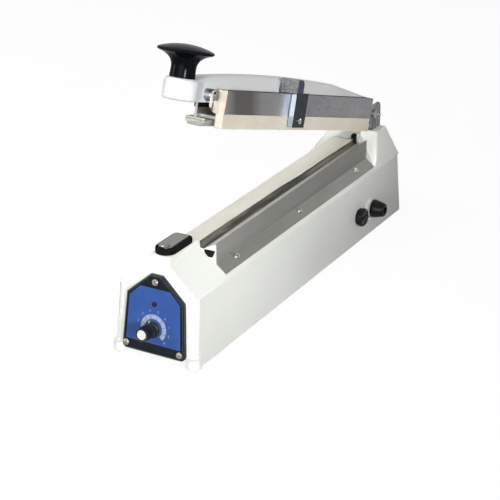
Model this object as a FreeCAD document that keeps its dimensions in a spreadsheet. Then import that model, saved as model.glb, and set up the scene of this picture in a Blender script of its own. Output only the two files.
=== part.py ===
import FreeCAD, Part
import math
import os
import re
import Sketcher
from FreeCAD import Placement, Rotation, Vector

# Bench-top impulse heat sealer with a sprung press arm and a sliding film cutter.
# Frame: +X is the machine's right side, +Y its rear, +Z up, millimetres.
# The origin is on the table, under the middle of the base. Drawn with the arm open.

doc = FreeCAD.newDocument("heat_sealer")
sheet = doc.addObject("Spreadsheet::Sheet", "Dims")

SIZES = {
    # base casting
    "base_length": 440,
    "base_width": 88,
    "shoulder_width": 85,
    "shoulder_height": 67,
    "end_draft": 7.6,
    "roof_top_width": 24,
    "roof_top_height": 92,
    "wall": 3,
    "corner_radius": 5,
    "lug_radius": 7,
    "lug_height": 10,
    "lug_overhang": 2.2,
    # front platform that the handle comes down on
    "platform_height": 99.8,
    "platform_setback": 62.5,
    "platform_rounding": 3,
    # rear column that carries the hinge
    "column_depth": 67,
    "column_top_setback": 32.5,
    "column_top_width": 53,
    "column_top_height": 97.4,
    "column_rounding": 4,
    # sealing ridge
    "rib_width": 18.6,
    "rib_top": 94.5,
    "cloth_thickness": 0.5,
    "cloth_flap": 4,
    "board_thickness": 1.2,
    "ribbon_width": 4,
    "ribbon_thickness": 0.3,
    "post_radius": 2.5,
    "post_setback": 6,
    "post_drop": 14,
    # cutting groove beside the ridge
    "groove_floor_x": 16.2,
    "groove_floor": 91,
    "groove_rim_x": 28.3,
    "groove_rim": 97.3,
    "shelf_side_x": 29.1,
    "plate_thickness": 1,
    "plate_top": 98.7,
    "plate_foot_x": 39.3,
    "plate_screw_x": 33.4,
    "plate_screw_pitch": 125,
    "plug_width": 11.4,
    "plug_height": 7,
    "plug_depth": 8,
    "plug_proud": 0.6,
    # floor pan and feet
    "pan_thickness": 1.2,
    "pan_inset": 0.8,
    "pan_gap": 0.4,
    "boss_radius": 4.5,
    "boss_height": 24,
    "boss_setback": 24,
    "foot_drop": 1.5,
    "foot_radius": 8,
    "foot_setback": 40,
    "foot_inset": 14,
    # control panel, measured up the sloping front
    "panel_thickness": 4,
    "panel_bevel": 1.4,
    "panel_foot": 6.5,
    "panel_foot_width": 68,
    "panel_corner": 5,
    "panel_shoulder": 61.7,
    "panel_shoulder_width": 61,
    "panel_top": 83.5,
    "panel_top_width": 12,
    "panel_screw_top": 76.7,
    "panel_screw_low": 12.8,
    "panel_screw_spread": 57,
    "label_thickness": 0.3,
    "label_foot": 17.2,
    "label_foot_width": 58,
    "label_shoulder": 59.8,
    "label_shoulder_width": 53.6,
    "label_top": 70.5,
    "label_top_width": 31.6,
    "dial_height": 32.2,
    "lamp_height": 55.6,
    "lamp_radius": 2.5,
    "window_width": 44,
    "window_foot": 17,
    "window_top": 66,
    # timer
    "pot_radius": 8,
    "pot_depth": 9,
    "bush_radius": 3.5,
    "bush_proud": 2.2,
    "lamp_flange": 0.6,
    "pot_tag_pitch": 4,
    "pot_tag_length": 5,
    "nut_width": 10,
    "nut_height": 2,
    "shaft_radius": 3,
    "shaft_length": 16,
    "knob_radius": 8.2,
    "knob_tip_radius": 6.2,
    "knob_length": 18,
    "knob_lift": 2.6,
    "knob_bore_depth": 14,
    "flute_radius": 1.1,
    "flute_count": 18,
    "knob_cap_radius": 4.5,
    "knob_cap_thickness": 1.2,
    # strike pad, plate and switch button on the platform
    "pad_width": 20.6,
    "pad_setback": 14,
    "pad_length": 41.6,
    "pad_height": 5.5,
    "strike_width": 14.4,
    "strike_rear_inset": 4.4,
    "strike_thickness": 1.2,
    "button_setback": 21.6,
    "button_radius": 4.4,
    "button_proud": 1,
    "button_head": 3.4,
    "button_stem_radius": 2.5,
    "button_travel": 1.2,
    "switch_length": 28,
    "switch_width": 10,
    "switch_height": 16,
    "switch_drop": 4,
    "switch_stem_height": 1.4,
    "switch_plate": 1.5,
    # mains inlet side
    "fuse_setback": 107,
    "inlet_setback": 79,
    "inlet_height": 29,
    "fuse_cap_radius": 9.8,
    "fuse_cap_length": 6.6,
    "fuse_cap_flats": 10,
    "fuse_barrel_radius": 6,
    "fuse_barrel_length": 34,
    "fuse_collar_radius": 8.2,
    "fuse_collar_length": 1.2,
    "fuse_radius": 2.6,
    "fuse_length": 20,
    "washer_radius": 12,
    "washer_thickness": 3.6,
    "gland_radius": 9.7,
    "gland_tip_radius": 6.2,
    "gland_length": 14,
    "gland_bore_radius": 3.6,
    "gland_thread_radius": 6,
    "gland_thread_length": 12,
    "locknut_width": 19,
    "locknut_height": 4,
    # electrics on the floor pan
    "core_length": 62,
    "core_width": 24,
    "core_height": 52,
    "core_limb": 10,
    "core_y": 40,
    "coil_width": 42,
    "strap_thickness": 1.5,
    "strap_foot": 12,
    "card_length": 64,
    "card_width": 46,
    "card_thickness": 1.6,
    "card_y": -120,
    "spacer_radius": 3,
    "spacer_height": 8,
    # hinge
    "pivot_setback": 27,
    "pivot_rise": 17.9,
    "open_angle": 17.9,
    "pin_radius": 3,
    "pin_fit": 0.06,
    "bracket_width": 41,
    "bracket_gauge": 2,
    "bracket_front": 8.5,
    "bracket_rear": 15.5,
    "ear_rise": 10.6,
    "ear_rounding": 7,
    "bracket_screw_x": 14,
    "stay_radius": 2,
    "stay_rear": 13,
    "stay_drop": 5.3,
    "stop_gap": 0.3,
    "heel_reach": 9,
    "heel_toe": 3,
    "heel_bevel": 3,
    # arm casting, measured from the pivot with the arm level
    "arm_width": 19,
    "arm_wall": 3,
    "arm_floor": 3.2,
    "arm_crown": 26.8,
    "arm_crown_setback": 37.8,
    "arm_crown_rear": 85,
    "arm_crown_radius": 2450,
    "arm_rear_top": 15.8,
    "arm_edge_rounding": 5,
    "arm_nape_reach": 5,
    "arm_belly_reach": 34,
    "arm_chin_reach": 16,
    "arm_chin_drop": 8.5,
    "arm_hollow_rear_top": 9,
    "arm_hollow_setback": 22,
    "handle_setback": 30.2,
    "handle_boss_radius": 15.7,
    "handle_boss_top": 23.1,
    "handle_boss_rounding": 3.5,
    "hub_radius": 6.2,
    "hub_clearance": 0.6,
    # return springs round the pin
    "spring_wire": 1.6,
    "spring_radius": 8.3,
    "spring_turns": 3,
    "spring_pitch": 2.1,
    "spring_start_x": 10.7,
    "spring_arm_leg": 24,
    "spring_base_leg": 15,
    "spring_peg_radius": 2.4,
    # mushroom handle
    "handle_base_radius": 11.8,
    "handle_neck_radius": 11.3,
    "handle_neck_height": 12,
    "handle_rim_radius": 26,
    "handle_rim_height": 24.2,
    "handle_rim_edge": 1.6,
    "handle_dome": 5.6,
    "handle_flare": 16,
    "stud_radius": 4,
    "stud_length": 30,
    # press bar, buffer and silicone
    "bar_web": 2.5,
    "bar_web_top": 5,
    "bar_flange": 2,
    "bar_width": 19.8,
    "bar_front_lead": -0.5,
    "bar_rear_lead": 3,
    "bar_eye_radius": 5.4,
    "seal_gap": 0.3,
    "silicone_thickness": 5.5,
    "silicone_chamfer_x": 3.4,
    "silicone_chamfer_z": 4.2,
    "buffer_width": 5.4,
    "buffer_top": 6.6,
    "buffer_foot": 2.1,
    # cutter rail
    "rail_inner_x": 16.5,
    "rail_thickness": 8,
    "rail_top": 16,
    "rail_foot": 18.4,
    "rail_front_setback": 8.6,
    "rail_rear_reach": 19.3,
    "cover_gauge": 0.6,
    "cover_foot": 5,
    "ear_reach": 15,
    "ear_thickness": 2,
    "ear_top": 15,
    "ear_tip": 5,
    "standoff_height": 10.8,
    "standoff_reach": 10,
    "standoff_radius": 5.6,
    "slot_fit": 0.5,
    "slot_travel": 10.2,
    "guide_screw_radius": 2,
    "guide_head_radius": 4.4,
    "guide_head_height": 2.4,
    "bridge_length": 8,
    "bridge_height": 2.8,
    # slider with the blade
    "slider_rear_reach": 189,
    "slider_length": 25.5,
    "slider_outer_x": 31,
    "slider_gauge": 1.5,
    "slider_foot": 15,
    "slider_gap": 0.4,
    "slider_inner_x": 13.2,
    "grip_length": 13.4,
    "grip_height": 12.6,
    "grip_bevel": 3,
    "grip_groove": 0.8,
    "grip_groove_count": 5,
    "blade_thickness": 0.6,
    "blade_length": 15,
    "blade_tip": 20.4,
    "blade_top": 2,
    # fasteners
    "screw_radius": 1.5,
    "screw_head_radius": 3,
    "screw_head_height": 2,
    "screw_fit": 0.1,
    "recess_width": 0.8,
    "recess_depth": 0.9,
}

for row, (alias, size) in enumerate(SIZES.items(), 1):
    sheet.set(f"A{row}", alias)
    sheet.set(f"B{row}", str(size))
    sheet.setAlias(f"B{row}", alias)
doc.recompute()

WORD = re.compile(r"[A-Za-z_][A-Za-z_0-9]*")
PARTS = []


def ex(formula):
    """A formula in plain size names, written for the sheet."""
    return WORD.sub(lambda m: "Dims." + m.group() if m.group() in SIZES else m.group(), str(formula))


def val(formula):
    """The number that a formula gives now."""
    answer = sheet.evalExpression(ex(formula))
    return float(getattr(answer, "Value", answer))


def bind(obj, formulas):
    for path, formula in formulas.items():
        obj.setExpression(path, ex(formula))
    return obj


def place(obj, x="0", y="0", z="0", axis=None, angle="0"):
    """Puts an object at a place given by formulas, turned about an axis."""
    turn = Rotation(Vector(*axis), val(angle)) if axis else Rotation()
    obj.Placement = Placement(Vector(val(x), val(y), val(z)), turn)
    bind(obj, {".Placement.Base.x": x, ".Placement.Base.y": y, ".Placement.Base.z": z})
    if axis and angle not in ("90", "-90", "180"):
        bind(obj, {".Placement.Rotation.Angle": angle})
    return obj


# Places that several pieces share

PLATFORM_REAR = "(-base_length / 2 + platform_setback)"
COLUMN_FOOT = "(base_length / 2 - column_depth)"
COLUMN_TOP = "(base_length / 2 - column_top_setback)"
PIVOT_Y = "(base_length / 2 - pivot_setback)"
PIVOT_Z = "(column_top_height + pivot_rise)"
PAN_TOP = "(pan_inset + pan_thickness)"
RIDGE_X = "(rib_width / 2 + cloth_thickness)"
RIDGE_TOP = "(rib_top + board_thickness + ribbon_thickness + cloth_thickness)"
CLOTH_UNDER = "(rib_top + board_thickness + ribbon_thickness)"
ROOF_SLOPE = "((roof_top_height - shoulder_height) / (shoulder_width / 2 - roof_top_width / 2))"
ROOF_ANGLE = f"atan({ROOF_SLOPE})"
FRONT_ANGLE = "atan(end_draft / shoulder_height)"
SIDE_ANGLE = "atan((base_width - shoulder_width) / 2 / shoulder_height)"
CEILING = "(roof_top_height - wall - 1)"
STRIKE_FLOOR = "(platform_height + pad_height)"
STRIKE_TOP = "(platform_height + pad_height + strike_thickness)"
BUTTON_Y = "(-base_length / 2 + button_setback)"
STEM_FOOT = f"({CEILING} - 1)"
SWITCH_TOP = f"({STEM_FOOT} - button_travel - switch_stem_height - 0.4)"
HANDLE_REACH = "(base_length - pivot_setback - handle_setback)"
CROWN_FRONT = f"({HANDLE_REACH} - arm_crown_setback)"
BOSS_REAR = f"({HANDLE_REACH} - handle_base_radius - hub_clearance)"
BAR_FRONT = f"({PIVOT_Y} - {PLATFORM_REAR} + bar_front_lead)"
FLANGE_DROP = f"({PIVOT_Z} - {RIDGE_TOP} - seal_gap - silicone_thickness - bar_flange)"
BAR_REAR = f"({PIVOT_Y} - {COLUMN_FOOT} - bar_rear_lead)"
RAIL_FRONT = f"({PIVOT_Y} - {PLATFORM_REAR} - rail_front_setback)"
RAIL_OUTER_X = "(rail_inner_x + rail_thickness)"
BRACKET_TOP = "(column_top_height + bracket_gauge)"
STANDOFF_REACH = f"({RAIL_FRONT} + standoff_reach)"
SLIDER_FRONT = "(slider_rear_reach + slider_length)"
SLIDER_TOP = "(rail_top + cover_gauge + slider_gap + slider_gauge)"
EAR_X = "(bracket_width / 2 - bracket_gauge)"


def front_at(z):
    """Y of the leaning front wall at a height."""
    return f"(-base_length / 2 + end_draft * ({z}) / shoulder_height)"


def rear_at(z):
    return f"(base_length / 2 - end_draft * ({z}) / shoulder_height)"


def side_at(z):
    """Half width of the base at a height below the shoulder."""
    return f"(base_width / 2 - (base_width - shoulder_width) / 2 * ({z}) / shoulder_height)"


def roof_at(x):
    """Height of the sloping roof at a distance from the middle."""
    return f"(shoulder_height + (shoulder_width / 2 - ({x})) * {ROOF_SLOPE})"


def on_base(obj):
    return place(obj, z="foot_drop")


def on_panel(obj):
    """The panel's frame lies on the leaning front, +Z up the slope and -Y outwards."""
    return place(obj, y="-base_length / 2", z="foot_drop", axis=(1, 0, 0), angle=f"-{FRONT_ANGLE}")


def on_wall(setback):
    """A frame on the right wall, +X outwards, at the inlet height."""
    def seat(obj):
        x = side_at("inlet_height")
        y = f"base_length / 2 - {setback}"
        return place(obj, x, y, "inlet_height + foot_drop", (0, 1, 0), f"-{SIDE_ANGLE}")
    return seat


def on_arm(obj):
    """The arm's frame: origin on the hinge pin, -Y towards the handle, tipped up by the open angle."""
    return place(obj, "0", PIVOT_Y, f"{PIVOT_Z} + foot_drop", (1, 0, 0), "-open_angle")


def keep(obj, label, seat):
    """Names a finished piece and seats it in its frame."""
    obj.Label = label
    seat(obj)
    PARTS.append(obj)
    return obj


# Solid primitives given by their bounds

AXES = {"x": ((0, 1, 0), "90"), "y": ((1, 0, 0), "-90"), "z": (None, "0")}


def box(x0, x1, y0, y1, z0, z1):
    solid = doc.addObject("Part::Box", "box")
    bind(solid, {"Length": f"({x1}) - ({x0})", "Width": f"({y1}) - ({y0})", "Height": f"({z1}) - ({z0})"})
    return place(solid, x0, y0, z0)


def along_axis(solid, start, along, at):
    axis, angle = AXES[along]
    first, second = at
    spot = {"x": (start, first, second), "y": (first, start, second), "z": (first, second, start)}[along]
    return place(solid, *spot, axis=axis, angle=angle)


def rod(radius, start, end, along="z", at=("0", "0")):
    solid = doc.addObject("Part::Cylinder", "rod")
    bind(solid, {"Radius": radius, "Height": f"({end}) - ({start})"})
    return along_axis(solid, start, along, at)


def cone(radius, end_radius, start, end, along="z", at=("0", "0")):
    solid = doc.addObject("Part::Cone", "cone")
    bind(solid, {"Radius1": radius, "Radius2": end_radius, "Height": f"({end}) - ({start})"})
    return along_axis(solid, start, along, at)


def hexagon(width, start, end, along="z", at=("0", "0")):
    solid = doc.addObject("Part::Prism", "prism")
    solid.Polygon = 6
    bind(solid, {"Circumradius": f"({width}) / 2 / cos(30)", "Height": f"({end}) - ({start})"})
    return along_axis(solid, start, along, at)


def fuse(*solids):
    joined = doc.addObject("Part::MultiFuse", "fuse")
    joined.Shapes = list(solids)
    joined.Refine = True
    return joined


def group(*solids):
    """Separate solids that share one node."""
    loose = doc.addObject("Part::Compound", "group")
    loose.Links = list(solids)
    return loose


def cut(solid, *tools):
    left = doc.addObject("Part::Cut", "cut")
    left.Base = solid
    left.Tool = tools[0] if len(tools) == 1 else group(*tools)
    left.Refine = True
    return left


def screw(x, y, z, axis=None, angle="0", reach="wall + 2"):
    """Pan-head screw, head outwards along its own +Z, with a cross recess."""
    head = fuse(rod("screw_head_radius", "0", "screw_head_height"), rod("screw_radius", f"-({reach})", "0.1"))
    arm = "screw_head_radius * 0.6"
    half = "recess_width / 2"
    floor = "screw_head_height - recess_depth"
    cross = fuse(box(f"-{arm}", arm, f"-{half}", half, floor, "screw_head_height + 1"),
                 box(f"-{half}", half, f"-{arm}", arm, floor, "screw_head_height + 1"))
    return place(cut(head, cross), x, y, z, axis, angle)


# Bodies built from sketches

PLANES = {"x": "YZ_Plane", "y": "XZ_Plane", "z": "XY_Plane"}


def new_body():
    return doc.addObject("PartDesign::Body", "body")


def new_sketch(body, along, level):
    """A sketch square to an axis. Its own axes are X and Y, X and Z, or Y and Z."""
    sketch = body.newObject("Sketcher::SketchObject", "sketch")
    plane = next(f for f in body.Origin.OriginFeatures if f.Role == PLANES[along])
    sketch.AttachmentSupport = [(plane, "")]
    sketch.MapMode = "FlatFace"
    depth = f"-({level})" if along == "y" else f"({level})"
    sketch.AttachmentOffset = Placement(Vector(0, 0, val(depth)), Rotation())
    bind(sketch, {".AttachmentOffset.Base.z": depth})
    return sketch


def pin_point(sketch, edge, end, spot):
    """Ties a point of the sketch to two formulas."""
    for kind, formula in zip(("DistanceX", "DistanceY"), spot):
        index = sketch.addConstraint(Sketcher.Constraint(kind, -1, 1, edge, end, val(formula)))
        bind(sketch, {f"Constraints[{index}]": formula})


def arc_edge(start, end, radius):
    """Arc of under half a circle; a positive radius bulges to the right of start to end."""
    chord = end - start
    middle = (start + end) / 2
    left = Vector(-chord.y, chord.x, 0).normalize()
    height = math.sqrt(radius ** 2 - (chord.Length / 2) ** 2)
    side = 1 if radius > 0 else -1
    centre = middle + left * height * side
    first, last = (start, end) if side > 0 else (end, start)
    angles = [math.atan2(p.y - centre.y, p.x - centre.x) for p in (first, last)]
    return Part.ArcOfCircle(Part.Circle(centre, Vector(0, 0, 1), abs(radius)), *angles)


def draw_outline(sketch, points):
    """Closed outline. A point may carry the radius of the arc that leads to the next point."""
    spots = [Vector(val(p[0]), val(p[1]), 0) for p in points]
    count = len(points)
    ends = []
    for i, point in enumerate(points):
        start, end = spots[i], spots[(i + 1) % count]
        if len(point) == 2:
            sketch.addGeometry(Part.LineSegment(start, end), False)
            ends.append((1, 2))
        else:
            radius = val(point[2])
            sketch.addGeometry(arc_edge(start, end, radius), False)
            ends.append((1, 2) if radius > 0 else (2, 1))
    for i in range(count):
        after = (i + 1) % count
        sketch.addConstraint(Sketcher.Constraint("Coincident", i, ends[i][1], after, ends[after][0]))
    for i, point in enumerate(points):
        pin_point(sketch, i, ends[i][0], point[:2])
        if len(point) == 3:
            index = sketch.addConstraint(Sketcher.Constraint("Radius", i, abs(val(point[2]))))
            bind(sketch, {f"Constraints[{index}]": f"abs({point[2]})"})


def draw_circle(sketch, centre, radius):
    spot = Vector(val(centre[0]), val(centre[1]), 0)
    edge = sketch.addGeometry(Part.Circle(spot, Vector(0, 0, 1), val(radius)), False)
    pin_point(sketch, edge, 3, centre)
    index = sketch.addConstraint(Sketcher.Constraint("Radius", edge, val(radius)))
    bind(sketch, {f"Constraints[{index}]": radius})


def draw(sketch, shape):
    """A shape is an outline's list of points, or a circle as (centre, radius)."""
    if isinstance(shape, tuple):
        draw_circle(sketch, *shape)
    else:
        draw_outline(sketch, shape)


def pad(body, along, shape, start, end):
    """Grows a shape along an axis from start to end."""
    sketch = new_sketch(body, along, end if along == "y" else start)
    draw(sketch, shape)
    feature = body.newObject("PartDesign::Pad", "pad")
    feature.Profile = sketch
    bind(feature, {"Length": f"({end}) - ({start})"})
    doc.recompute()
    return feature


def pocket(body, along, shape, start, end):
    """Cuts a shape along an axis from start to end."""
    before = body.Shape.Volume
    sketch = new_sketch(body, along, start if along == "y" else end)
    draw(sketch, shape)
    feature = body.newObject("PartDesign::Pocket", "pocket")
    feature.Profile = sketch
    bind(feature, {"Length": f"({end}) - ({start})"})
    doc.recompute()
    if not body.Shape.Volume < before:
        raise ValueError("a pocket cut nothing")
    return feature


def rectangle(x0, x1, y0, y1):
    return [(x0, y0), (x1, y0), (x1, y1), (x0, y1)]


def loft(body, sections, kind="PartDesign::AdditiveLoft"):
    """Straight-sided loft through rectangles, each given with its height."""
    sketches = []
    for shape, level in sections:
        sketch = new_sketch(body, "z", level)
        draw(sketch, shape)
        sketches.append(sketch)
    feature = body.newObject(kind, "loft")
    feature.Profile = sketches[0]
    feature.Sections = sketches[1:]
    feature.Ruled = True
    doc.recompute()
    return feature


def turned_body(outline):
    """A solid of revolution about its own Z axis."""
    body = new_body()
    sketch = new_sketch(body, "y", "0")
    draw(sketch, outline)
    turned = body.newObject("PartDesign::Revolution", "turned")
    turned.Profile = sketch
    turned.ReferenceAxis = (sketch, ["V_Axis"])
    turned.Angle = 360
    doc.recompute()
    return body


def round_edges(body, radius, test, kind="PartDesign::Fillet", size="Radius"):
    """Rounds the edges of a body that pass a test."""
    base = body.Tip
    names = [f"Edge{i}" for i, edge in enumerate(base.Shape.Edges, 1) if test(edge)]
    feature = body.newObject(kind, "round")
    feature.Base = (base, names)
    bind(feature, {size: radius})
    doc.recompute()
    return feature


def bevel_edges(body, size, test):
    return round_edges(body, size, test, "PartDesign::Chamfer", "Size")


def upright(edge):
    """True for an edge that climbs more than it runs."""
    a, b = edge.Vertexes[0].Point, edge.Vertexes[-1].Point
    return abs(b.z - a.z) > 2 * math.hypot(b.x - a.x, b.y - a.y)


def level_at(edge, z):
    return all(abs(v.Point.z - z) < 1e-4 for v in edge.Vertexes)


# Base casting

def base_shell():
    body = new_body()
    half = "base_width / 2"
    shoulder = "shoulder_width / 2"
    top = "roof_top_width / 2"
    rim = (rectangle(f"-{half}", half, front_at("0"), rear_at("0")), "0")
    middle = (rectangle(f"-{shoulder}", shoulder, front_at("shoulder_height"), rear_at("shoulder_height")),
              "shoulder_height")
    crest = (rectangle(f"-{top}", top, front_at("roof_top_height"), rear_at("roof_top_height")),
             "roof_top_height")
    loft(body, [rim, middle])
    round_edges(body, "corner_radius", upright)
    loft(body, [middle, crest])
    stage = (rectangle(f"-{top}", top, front_at("platform_height"), PLATFORM_REAR), "platform_height")
    stage_foot = (rectangle(f"-{top}", top, front_at("roof_top_height"), PLATFORM_REAR), "roof_top_height")
    loft(body, [stage_foot, stage])
    round_edges(body, "platform_rounding", lambda e: level_at(e, val("platform_height")))
    column_x = "column_top_width / 2"
    column_foot = (rectangle(f"-{shoulder}", shoulder, COLUMN_FOOT, rear_at("shoulder_height")),
                   "shoulder_height")
    column_top = (rectangle(f"-{column_x}", column_x, COLUMN_TOP, rear_at("column_top_height")),
                  "column_top_height")
    loft(body, [column_foot, column_top])
    round_edges(body, "column_rounding", column_corner)
    rib = "rib_width / 2"
    pad(body, "z", rectangle(f"-{rib}", rib, PLATFORM_REAR, COLUMN_TOP), "roof_top_height - 1", "rib_top")
    shelf = [(rib, "roof_top_height - wall / 2"),
             ("groove_floor_x", f"{roof_at('groove_floor_x')} - wall / 2"),
             ("shelf_side_x", f"{roof_at('shelf_side_x')} - wall / 2"), ("shelf_side_x", "groove_rim"),
             ("groove_rim_x", "groove_rim"), ("groove_floor_x", "groove_floor"), (rib, "groove_floor")]
    pad(body, "y", shelf, PLATFORM_REAR, f"{COLUMN_FOOT} + bar_rear_lead")
    pocket(body, "y", rectangle(rib, "groove_floor_x", "groove_floor", "roof_top_height + 1"),
           PLATFORM_REAR, f"{COLUMN_FOOT} + bar_rear_lead")
    return body


def column_corner(edge):
    """The column's front corners, from the shoulder up to its top."""
    low, high = sorted((v.Point for v in edge.Vertexes), key=lambda p: p.z)
    foot = abs(low.z - val("shoulder_height")) < 1e-3 and abs(low.y - val(COLUMN_FOOT)) < 1e-3
    return foot and abs(high.z - val("column_top_height")) < 1e-3


def shell_cavity():
    """The hollow inside the base, open below, with the room inside the column."""
    inner = "(wall)"
    body = new_body()
    low = f"base_width / 2 - {inner}"
    mid = f"shoulder_width / 2 - {inner}"
    mid_z = f"shoulder_height - {inner} / 2"
    top = "roof_top_width / 2 - wall - 1"
    rim = (rectangle(f"-({low})", low, f"{front_at('0')} + wall", f"{rear_at('0')} - wall"), "-1")
    middle = (rectangle(f"-({mid})", mid, f"{front_at(mid_z)} + wall", f"{rear_at(mid_z)} - wall"), mid_z)
    crest = (rectangle(f"-({top})", top, f"{front_at(CEILING)} + wall", f"{rear_at(CEILING)} - wall"),
             CEILING)
    loft(body, [rim, middle])
    loft(body, [middle, crest])
    room = "column_top_width / 2 - wall"
    room_z = "column_top_height - wall - 1"
    foot = (rectangle(f"-({mid} - wall)", f"{mid} - wall", f"{COLUMN_FOOT} + 3 * wall",
                      f"{rear_at(mid_z)} - wall"), mid_z)
    head = (rectangle(f"-({room})", room, f"{COLUMN_TOP} + wall", f"{rear_at(room_z)} - wall"), room_z)
    loft(body, [foot, head])
    return body


def pan_boss_spots():
    x = "(base_width / 2 - wall - pan_gap - screw_head_radius)"
    ends = "(base_length / 2 - boss_setback)"
    return [(f"{sx} * {x}", f"{sy} * {ends}") for sx in (-1, 1) for sy in (-1, 0, 1)]


def lug_spots():
    """Round lugs that wrap the two front corners of the foot."""
    x = "(base_width / 2 - lug_radius + lug_overhang)"
    y = "(base_length / 2 - lug_radius + lug_overhang)"
    return [(f"{side} * {x}", f"-{y}") for side in (-1, 1)]


def bracket_screw_spots():
    rows = (f"{COLUMN_TOP} + 4.5", f"{PIVOT_Y} + bracket_rear - 4")
    return [(f"{side} * bracket_screw_x", y) for side in (-1, 1) for y in rows]


def post_spots():
    return (f"{PLATFORM_REAR} + post_setback", f"{COLUMN_FOOT} - post_setback")


def facet_spots():
    """Screw seats on the cover plate's sloping foot."""
    lift = f"plate_thickness / cos({ROOF_ANGLE})"
    z = f"{roof_at('plate_screw_x')} + {lift}"
    middle = f"(({PLATFORM_REAR} + {COLUMN_FOOT}) / 2)"
    return [("plate_screw_x", f"{middle} + {k} * plate_screw_pitch", z) for k in (-1, 0, 1)]


def panel_screw_spots():
    half = "panel_screw_spread / 2"
    return [("0", "panel_screw_top"), (f"-{half}", "panel_screw_low"), (half, "panel_screw_low")]


def plug_outline(slack):
    """D-shaped mouth under the groove's front end, flat side up."""
    right = f"(groove_rim_x + {slack})"
    left = f"(groove_rim_x - plug_width - {slack})"
    top = f"(groove_floor + {slack})"
    low = f"(groove_floor - plug_height - {slack})"
    bend = "(plug_width / 4)"
    return [(left, top), (f"{left} + {bend}", low, "plug_width"), (f"{right} - {bend}", low), (right, top)]


def bored_panel_holes():
    holes = [rod("screw_radius + screw_fit", "-1", "4 * wall", "y", spot) for spot in panel_screw_spots()]
    body = new_body()
    window = rectangle("-window_width / 2", "window_width / 2", "window_foot", "window_top")
    pad(body, "y", window, "-wall", "3 * wall")
    return place(group(body, *holes), y="-base_length / 2", axis=(1, 0, 0), angle=f"-{FRONT_ANGLE}")


def wall_hole(radius, setback):
    hole = group(rod(radius, "-3 * wall", "wall", "x"))
    y = f"base_length / 2 - {setback}"
    return place(hole, side_at("inlet_height"), y, "inlet_height", (0, 1, 0), f"-{SIDE_ANGLE}")


def base_housing():
    bosses = [rod("boss_radius", PAN_TOP, "boss_height", "z", spot) for spot in pan_boss_spots()]
    lugs = [rod("lug_radius", "0", "lug_height", "z", spot) for spot in lug_spots()]
    inside = cut(fuse(base_shell(), *lugs), shell_cavity())
    solid = fuse(inside, *bosses)
    bored = "screw_radius + screw_fit"
    column = "column_top_height"
    screws = [rod(bored, "-1", "boss_height - wall", "z", spot) for spot in pan_boss_spots()]
    screws += [rod(bored, f"{column} - 3 * wall", f"{column} + 1", "z", spot)
               for spot in bracket_screw_spots()]
    posts = [rod("post_radius + screw_fit", f"{CEILING} - 1", "rib_top + 1", "z", ("0", y))
             for y in post_spots()]
    facets = [place(group(rod(bored, "-4 * wall", "1")), *spot, (0, 1, 0), ROOF_ANGLE)
              for spot in facet_spots()]
    button = rod("button_stem_radius + pin_fit", f"{CEILING} - 1", "platform_height + 1", "z",
                 ("0", BUTTON_Y))
    mouth = new_body()
    pad(mouth, "y", plug_outline("pin_fit"), f"{PLATFORM_REAR} - 1", f"{PLATFORM_REAR} + plug_depth")
    holes = screws + posts + facets + [button, mouth, bored_panel_holes()]
    holes += [wall_hole("fuse_barrel_radius + screw_fit", "fuse_setback"),
              wall_hole("gland_thread_radius + screw_fit", "inlet_setback")]
    keep(cut(solid, *holes), "base_housing", on_base)


def floor_pan():
    x = "(base_width / 2 - wall - pan_gap)"
    y = "(base_length / 2 - wall - pan_gap)"
    holes = [rod("screw_radius + screw_fit", "-1", "5", "z", spot) for spot in pan_boss_spots()]
    keep(cut(box(f"-{x}", x, f"-{y}", y, "pan_inset", PAN_TOP), *holes), "floor_pan", on_base)
    turned = [screw(x, y, "pan_inset", (1, 0, 0), "180", "boss_height / 2") for x, y in pan_boss_spots()]
    keep(group(*turned), "floor_pan_screws", on_base)
    spots = [(f"{sx} * (base_width / 2 - foot_inset)", f"{sy} * (base_length / 2 - foot_setback)")
             for sx in (-1, 1) for sy in (-1, 1)]
    feet = [cone("foot_radius - 1", "foot_radius", "-foot_drop", "pan_inset", "z", spot) for spot in spots]
    keep(group(*feet), "rubber_feet", on_base)


# Control panel and timer, in the panel's frame

def panel_outline(foot, foot_width, shoulder, shoulder_width, top, top_width):
    return [(f"-{foot_width} / 2", foot), (f"{foot_width} / 2", foot), (f"{shoulder_width} / 2", shoulder),
            (f"{top_width} / 2", top), (f"-{top_width} / 2", top), (f"-{shoulder_width} / 2", shoulder)]


def control_panel():
    body = new_body()
    outline = panel_outline("panel_foot", "panel_foot_width", "panel_shoulder", "panel_shoulder_width",
                            "panel_top", "panel_top_width")
    pad(body, "y", outline, "-panel_thickness", "0")
    low = val("panel_shoulder") / 2
    round_edges(body, "panel_corner", lambda e: square_to_panel(e) and e.CenterOfMass.z < low)
    front = -val("panel_thickness")
    bevel_edges(body, "panel_bevel", lambda e: all(abs(v.Point.y - front) < 1e-4 for v in e.Vertexes))
    pocket(body, "y", (("0", "dial_height"), "bush_radius + screw_fit"), "-panel_thickness - 1", "1")
    pocket(body, "y", (("0", "lamp_height"), "lamp_radius + screw_fit"), "-panel_thickness - 1", "1")
    for spot in panel_screw_spots():
        pocket(body, "y", (spot, "screw_radius + screw_fit"), "-panel_thickness - 1", "1")
    keep(body, "control_panel", on_panel)
    turned = [screw(x, "-panel_thickness", z, (1, 0, 0), "90", "panel_thickness + wall")
              for x, z in panel_screw_spots()]
    keep(group(*turned), "panel_screws", on_panel)


def square_to_panel(edge):
    a, b = edge.Vertexes[0].Point, edge.Vertexes[-1].Point
    return abs(b.y - a.y) > 0.9 * (b - a).Length


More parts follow.
